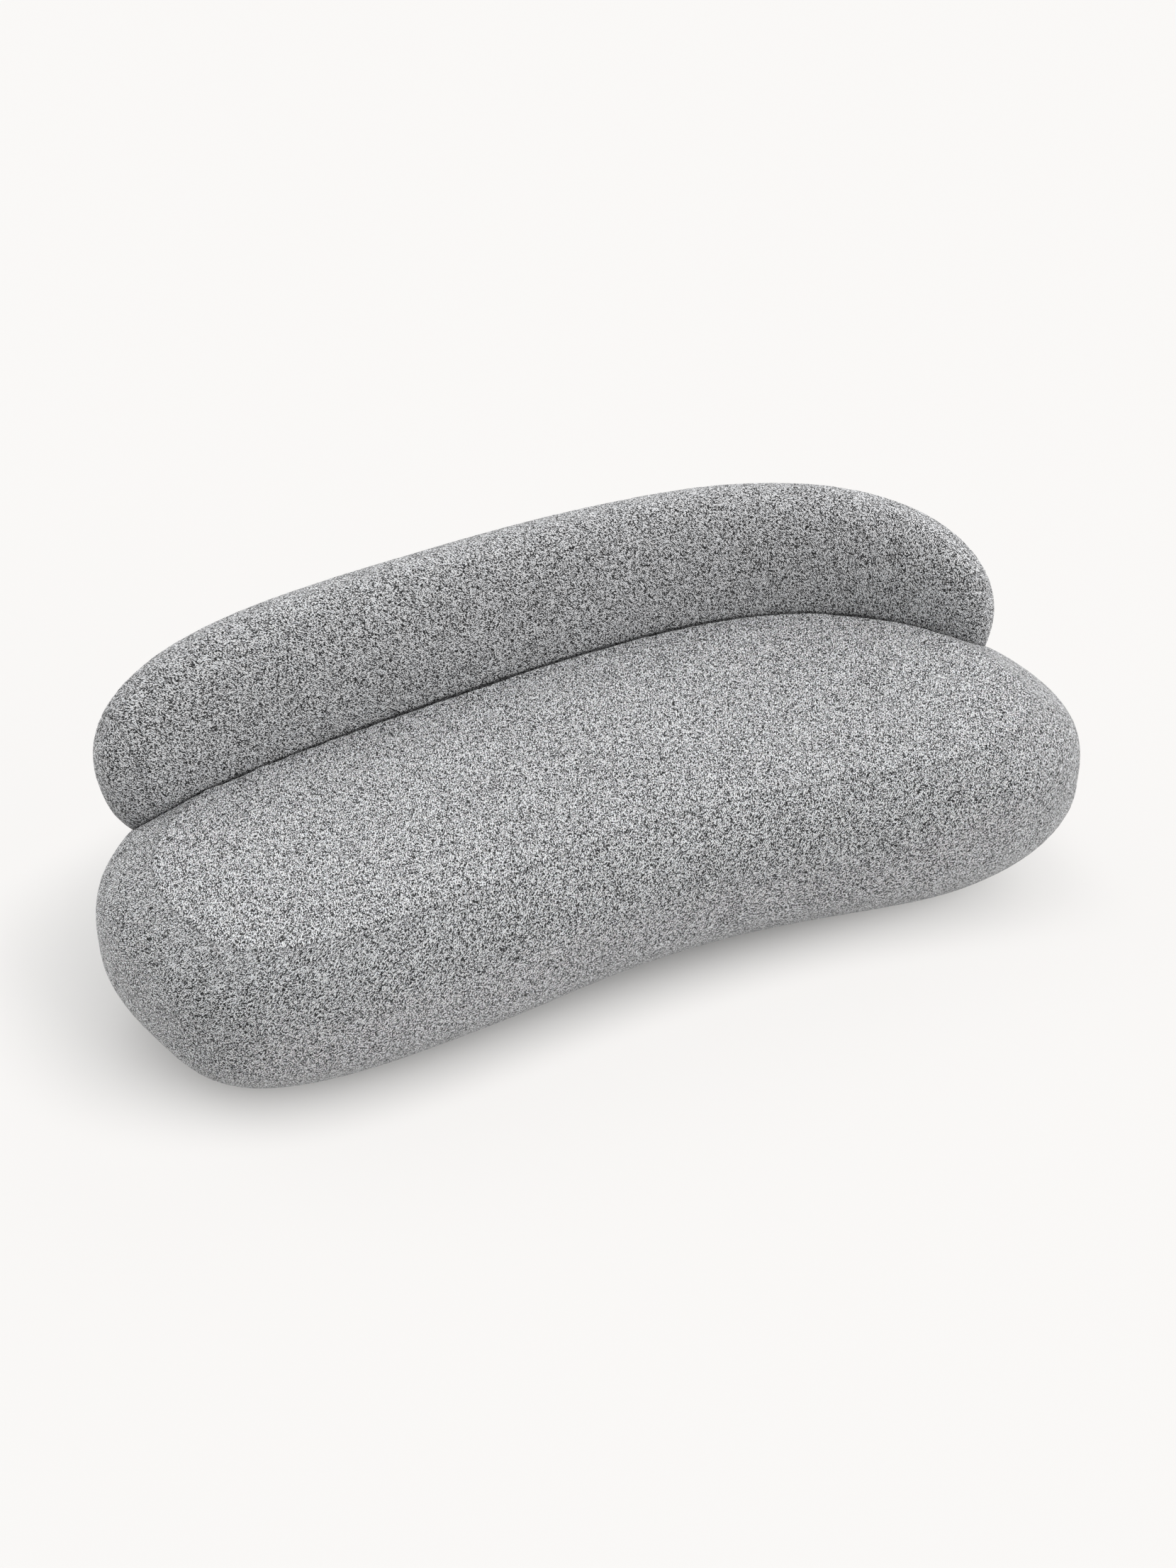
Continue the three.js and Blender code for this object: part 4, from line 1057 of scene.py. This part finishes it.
class SOFA_OT_seat(bpy.types.Operator):
    """Builds the crowned seat, with the place for the backrest in its top and the room for its frame below"""

    bl_idname = "sofa.seat"
    bl_label = "Seat cushion"

    def execute(self, context):
        sizes = context.scene.sofa_seat
        seat = seat_form("seat_cushion")
        cut_away(seat, back_form("backrest_place", grow=sizes.gap))
        apply_modifier(seat, "REMESH", mode="VOXEL", voxel_size=sizes.voxel)
        walls, fold = self.wall_points(), fold_line()
        self.roll_lip(seat, fold)
        swell(seat, lambda points: self.held(points, walls))
        refine(seat, fold, FOLD_REACH)
        press_seams(seat, self.seams())
        ruffle(seat)
        cut_away(seat, ring_body("frame_room", FRAME_ROOM), ring_body("under_opening", UNDER_OPENING))
        cut_away(seat, deck_room(), *bracket_rooms())
        depth = lay_seat_cloth(seat)
        finish_piece(seat, "boucle", "foam")
        self.show_foam(seat, depth)
        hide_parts("seat_cover", "seat_foam")
        return {"FINISHED"}

    @staticmethod
    def roll_lip(seat, fold):
        """Rounds the edge where the top rolls down into the backrest's place."""
        near = np.flatnonzero(nearest(points_of(seat), fold) < LIP_REACH)
        seat.vertex_groups.new(name="lip").add(near.tolist(), 1.0, "REPLACE")
        apply_modifier(seat, "SMOOTH", factor=0.5, iterations=3, vertex_group="lip")
        seat.vertex_groups.clear()

    @staticmethod
    def wall_points():
        """Points of the backrest's surface below the seat's top."""
        points = surface_points(back_surface, *BACK_GRID)[2].reshape(-1, 3)
        return points[(points[:, 2] > WALL_HEIGHTS[0]) & (points[:, 2] < WALL_HEIGHTS[1])]

    @staticmethod
    def seams():
        """The top panel's seam and the two that close the side panel behind."""
        turn = np.linspace(0, math.tau, 400) / math.tau
        top = np.stack(seat_place(turn, np.full_like(turn, SEAM_SHARE)), -1)
        down = np.linspace(SEAM_SHARE, UNDER_END, 60)
        sides = [np.stack(seat_place(np.full_like(down, turn), down), -1) for turn in SIDE_SEAMS]
        return np.concatenate([dense_line(line) for line in (top, *sides)])

    def held(self, points, walls):
        """How firmly each point is held: at the backrest, along the top seam and on the underside."""
        near = np.minimum(nearest(points, walls), nearest(points, self.seams()) * 1.5)
        return np.where(points[:, 2] < UNDER_HELD, 1, hold(near, SEAT_HOLD))

    @staticmethod
    def show_foam(seat, depth):
        """The rooms for the frame have walls of bare foam; the backrest's place is lined with cloth."""
        height = values_of(seat.data.polygons, "center", 3)[:, 2]
        foam = (depth > FOAM_DEPTH) & (height < FOAM_TOP)
        seat.data.polygons.foreach_set("material_index", foam.astype(np.int32))
        seat.data.update()


class SOFA_OT_backrest(bpy.types.Operator):
    """Builds the rounded backrest that stands in the seat"""

    bl_idname = "sofa.backrest"
    bl_label = "Backrest"

    def execute(self, context):
        back = back_form("backrest")
        apply_modifier(back, "REMESH", mode="VOXEL", voxel_size=context.scene.sofa_seat.voxel)
        seams = self.seams()
        swell(back, lambda points: self.held(points, seams))
        refine(back, fold_line(), FOLD_REACH)
        press_seams(back, seams)
        ruffle(back)
        cut_away(back, back_room(), *bracket_rooms())
        # Painted shade on the backrest inside the seat, fading a little above it.
        paint_fold_shade(back, seat_chart().read(points_of(back))[-1], 0.3)
        lay_back_cloth(back)
        finish_piece(back, "boucle")
        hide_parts("back_cover", "back_foam")
        return {"FINISHED"}

    @staticmethod
    def seams():
        """A seam round each end panel, and one along the rear."""
        half_length = bpy.context.scene.sofa_back.half_length
        turn, share = np.linspace(0, math.tau, 300), np.linspace(-CAP_SHARE, CAP_SHARE, 400)
        paths = [(np.full_like(turn, end), turn) for end in (-CAP_SHARE, CAP_SHARE)]
        paths.append((share, np.full_like(share, REAR_SEAM)))
        lines = [np.stack(back_place(path[0] * half_length, *back_section(*path)), -1) for path in paths]
        return np.concatenate([dense_line(line) for line in lines])

    @staticmethod
    def held(points, seams):
        """How firmly each point is held: inside the seat and along the seams."""
        low = np.clip((BACK_HELD - points[:, 2]) / 0.03, 0, 1)
        return np.maximum(low, hold(nearest(points, seams), BACK_HOLD))


class SOFA_OT_dust_cloth(bpy.types.Operator):
    """Builds the black cloth that closes the underside, and the staples that hold it"""

    bl_idname = "sofa.dust_cloth"
    bl_label = "Dust cloth and staples"

    def execute(self, context):
        reach = context.scene.sofa_seat.half_length - DUST_INSET

        def place(u, v):
            along = eased(u) * reach * 0.99995
            x, y, span = crossing(along, v, DUST_INSET)
            edge = np.minimum(np.minimum(v, 1 - v) * span, 0.30)
            sag = 0.0014 * np.clip((edge - 0.02) / 0.10, 0, 1) ** 2
            pucker = 0.0002 * np.sin(along * 130) * np.clip(1 - edge / 0.04, 0, 1)
            return x, y, DUST_HEIGHT - sag + pucker

        cloth = shaped_grid("dust_cloth", 200, 40, place)
        lay_sheet(cloth, points_of(cloth)[:, :2])
        apply_modifier(cloth, "SOLIDIFY", thickness=DUST_THICKNESS, offset=0)
        finish_piece(cloth, "cambric")
        x, y = seat_plan(np.linspace(0, math.tau, 400), DUST_INSET)
        area = abs((x * np.roll(y, -1) - y * np.roll(x, -1)).sum()) / 2
        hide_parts("dust_cover")
        self.staple()
        return {"FINISHED"}

    @staticmethod
    def staple():
        """One bent staple, copied along the cloth's edge."""
        bpy.ops.object.select_all(action="DESELECT")
        wire = {"vertices": 6, "radius": STAPLE_RADIUS, "depth": STAPLE_LENGTH}
        bpy.ops.mesh.primitive_cylinder_add(rotation=(0, math.pi / 2, 0), **wire)
        first = bpy.context.object
        bpy.ops.object.transform_apply()
        edit(first, (bpy.ops.mesh.bevel, {"offset": 0.0002, "segments": 1}))
        pattern = points_of(first)
        inner = *seat_plan(np.linspace(0, math.tau, 800), STAPLE_INSET), np.full(800, STAPLE_HEIGHT)
        spots = dense_line(np.stack(inner, -1), STAPLE_STEP)
        copies = []
        for here, ahead in zip(spots[:-1], spots[1:]):
            copies.append(copy_of(first))
            turn = math.atan2(*(ahead - here)[1::-1])
            cosine, sine = math.cos(turn), math.sin(turn)
            spin = np.array([[cosine, sine, 0], [-sine, cosine, 0], [0, 0, 1]])
            move_points(copies[-1], pattern @ spin + here - (0, 0, STAPLE_RADIUS))
        bpy.data.objects.remove(first)
        make_active(copies[0])
        for copy in copies:
            copy.select_set(True)
        bpy.ops.object.join()
        copies[0].name = copies[0].data.name = "dust_cloth_staples"
        finish_piece(copies[0], "zinc")


class SOFA_OT_padding(bpy.types.Operator):
    """Builds the felt pad over the springs and the webbing of the backrest"""

    bl_idname = "sofa.padding"
    bl_label = "Felt pad and webbing"

    def execute(self, context):
        def place(u, v):
            settle = 0.0007 * np.sin(u * 2 * math.pi * 6) * np.sin(v * math.pi)
            return deck_place((u * 2 - 1) * PAD_REACH, 0.1 + v * 0.8, PAD_LIFT + settle)

        pad = shaped_grid("felt_pad", 72, 24, place, closed=False)
        apply_modifier(pad, "SOLIDIFY", thickness=PAD_THICKNESS, offset=-1)
        apply_modifier(pad, "BEVEL", width=0.0012, segments=2, limit_method="ANGLE")
        finish_piece(pad, "felt")
        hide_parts("seat_insulator")
        for name, middle in STRAPS.items():
            self.strap(f"{name}_webbing", f"{name}_back_webbing", middle)
        return {"FINISHED"}

    @staticmethod
    def strap(name, node, middle):
        """A flat elastic strap over the ribs, drawn in a little between them."""

        def place(u, v):
            bay = 0.0010 * np.sin(u * 4 * math.pi) ** 2
            curl = 0.0004 * (2 * v - 1) ** 2
            height = middle + (v - 0.5) * STRAP_WIDTH
            return back_place((u * 2 - 1) * STRAP_REACH, STRAP_OUTWARD + bay - curl, height)

        strap = shaped_grid(name, 96, 8, place, closed=False)
        columns, rows = np.meshgrid(np.linspace(0, 1, 97), np.linspace(0, 1, 9))
        middle_line = np.stack(place(columns[4], rows[4]), 1)
        length = float(np.linalg.norm(np.diff(middle_line, axis=0), axis=1).sum())
        lay_sheet(strap, np.stack([columns.ravel() * length, rows.ravel() * STRAP_WIDTH], -1))
        apply_modifier(strap, "SOLIDIFY", thickness=STRAP_THICKNESS, offset=0)
        finish_piece(strap, "webbing")
        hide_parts(node)


class SOFA_OT_stage(bpy.types.Operator):
    """Sets up the floor, the soft light and the camera"""

    bl_idname = "sofa.stage"
    bl_label = "Studio"

    def execute(self, context):
        scene = context.scene
        self.add_floor(scene.sofa_colours)
        self.add_camera(scene, scene.sofa_camera)
        self.add_light(scene)
        scene.view_settings.view_transform = "Standard"
        return {"FINISHED"}

    @staticmethod
    def direction(azimuth, elevation):
        """The direction from the sofa at an azimuth from its front and an elevation."""
        level = math.cos(elevation)
        return Vector((math.sin(azimuth) * level, -math.cos(azimuth) * level, math.sin(elevation)))

    @staticmethod
    def add_floor(colours):
        """A pale floor that the camera sees as nearly white, with a painted glow that keeps the sofa's shadow
        close under it.
        """
        bpy.ops.object.select_all(action="DESELECT")
        bpy.ops.mesh.primitive_plane_add(size=FLOOR_SIZE, location=(0, 0, 0))
        floor = bpy.context.object
        floor.name = "floor"
        finish = Finish("floor", Roughness=0.85, Base_Color=opaque(colours.floor), Specular_IOR_Level=0.1)
        glow = {"Color": opaque(colours.backdrop), "Strength": 1.0}
        # Painted glow: the camera sees little of the backdrop near the sofa, where the shadow shows, and more
        # of it outside this outline.
        x, y = finish.axes(finish.place())
        bend = x * SHADOW_BEND[0] + x * x * SHADOW_BEND[1] + x * x * x * SHADOW_BEND[2]
        across = ((x - SHADOW_CENTRE[0]) / SHADOW_REACH[0]).size() ** SHADOW_POWER
        deep = ((y + bend - SHADOW_CENTRE[1]) / SHADOW_REACH[1]).size() ** SHADOW_POWER
        away = (across + deep) ** (1 / SHADOW_POWER)
        painted_glow_fade = {0: away, 1: 1, 2: SHADOW_END, 3: FLOOR_GLOW[0], 4: FLOOR_GLOW[1]}
        share = finish.node("ShaderNodeMapRange", {"interpolation_type": "SMOOTHSTEP"}, painted_glow_fade)
        backdrop = finish.node("ShaderNodeEmission", None, glow)
        finish.show(finish.shader.outputs[0], backdrop, share, "Material Output")
        floor.data.materials.append(finish.material)

    @classmethod
    def add_camera(cls, scene, view):
        back = cls.direction(view.azimuth, view.elevation)
        right = (-back).cross(Vector((0, 0, 1))).normalized()
        up = right.cross(-back)
        turned_right = right * math.cos(view.roll) + up * math.sin(view.roll)
        turned_up = up * math.cos(view.roll) - right * math.sin(view.roll)
        bpy.ops.object.camera_add(location=Vector(view.target) + back * view.distance)
        camera = bpy.context.object
        camera.name = "camera"
        camera.rotation_mode = "QUATERNION"
        camera.rotation_quaternion = Matrix((turned_right, turned_up, back)).transposed().to_quaternion()
        camera.data.lens, camera.data.sensor_width = view.lens, 36
        camera.data.clip_end = 200
        scene.camera = camera

    @classmethod
    def add_light(cls, scene):
        """An even white dome that the camera sees as the backdrop, and five broad soft lights."""
        world = bpy.data.worlds.new("studio")
        scene.world = world
        world.use_nodes = True
        dome = world.node_tree.nodes["Background"]
        dome.inputs["Color"].default_value = (1, 1, 1, 1)
        dome.inputs["Strength"].default_value = scene.sofa_light.dome
        nodes = Nodes(world.node_tree)
        backdrop = nodes.node("ShaderNodeBackground", None, {"Color": opaque(scene.sofa_colours.backdrop)})
        nodes.show(dome.outputs[0], backdrop, 1, "World Output")
        for name, angles in LAMPS.items():
            toward = cls.direction(*map(math.radians, angles))
            bpy.ops.object.light_add(type="SUN", location=toward * 4)
            lamp = bpy.context.object
            lamp.name = name
            lamp.data.energy, lamp.data.angle = getattr(scene.sofa_light, name), LAMP_SPREAD
            lamp.rotation_euler = toward.to_track_quat("Z", "Y").to_euler()


class SOFA_PT_panel(bpy.types.Panel):
    """Lists the steps that build the sofa"""

    bl_label = "Curved sofa"
    bl_idname = "SOFA_PT_panel"
    bl_space_type = "VIEW_3D"
    bl_region_type = "UI"
    bl_category = "Sofa"

    def draw(self, context):
        for step in STEPS:
            self.layout.operator(step.bl_idname)


STEPS = (
    SOFA_OT_finishes,
    SOFA_OT_seat,
    SOFA_OT_backrest,
    SOFA_OT_dust_cloth,
    SOFA_OT_padding,
    SOFA_OT_stage,
)
GROUPS = {
    "sofa_seat": SofaSeatSizes,
    "sofa_back": SofaBackSizes,
    "sofa_colours": SofaColours,
    "sofa_camera": SofaCamera,
    "sofa_light": SofaLight,
}


def register():
    for name, group in GROUPS.items():
        bpy.utils.register_class(group)
        setattr(bpy.types.Scene, name, PointerProperty(type=group))
    for made in (*STEPS, SOFA_PT_panel):
        bpy.utils.register_class(made)


def unregister():
    for made in (SOFA_PT_panel, *reversed(STEPS)):
        bpy.utils.unregister_class(made)
    for name, group in GROUPS.items():
        delattr(bpy.types.Scene, name)
        bpy.utils.unregister_class(group)


def main():
    register()
    bpy.ops.sofa.finishes()
    bpy.ops.sofa.seat()
    bpy.ops.sofa.backrest()
    bpy.ops.sofa.dust_cloth()
    bpy.ops.sofa.padding()
    bpy.ops.sofa.stage()


if __name__ == "__main__":
    main()
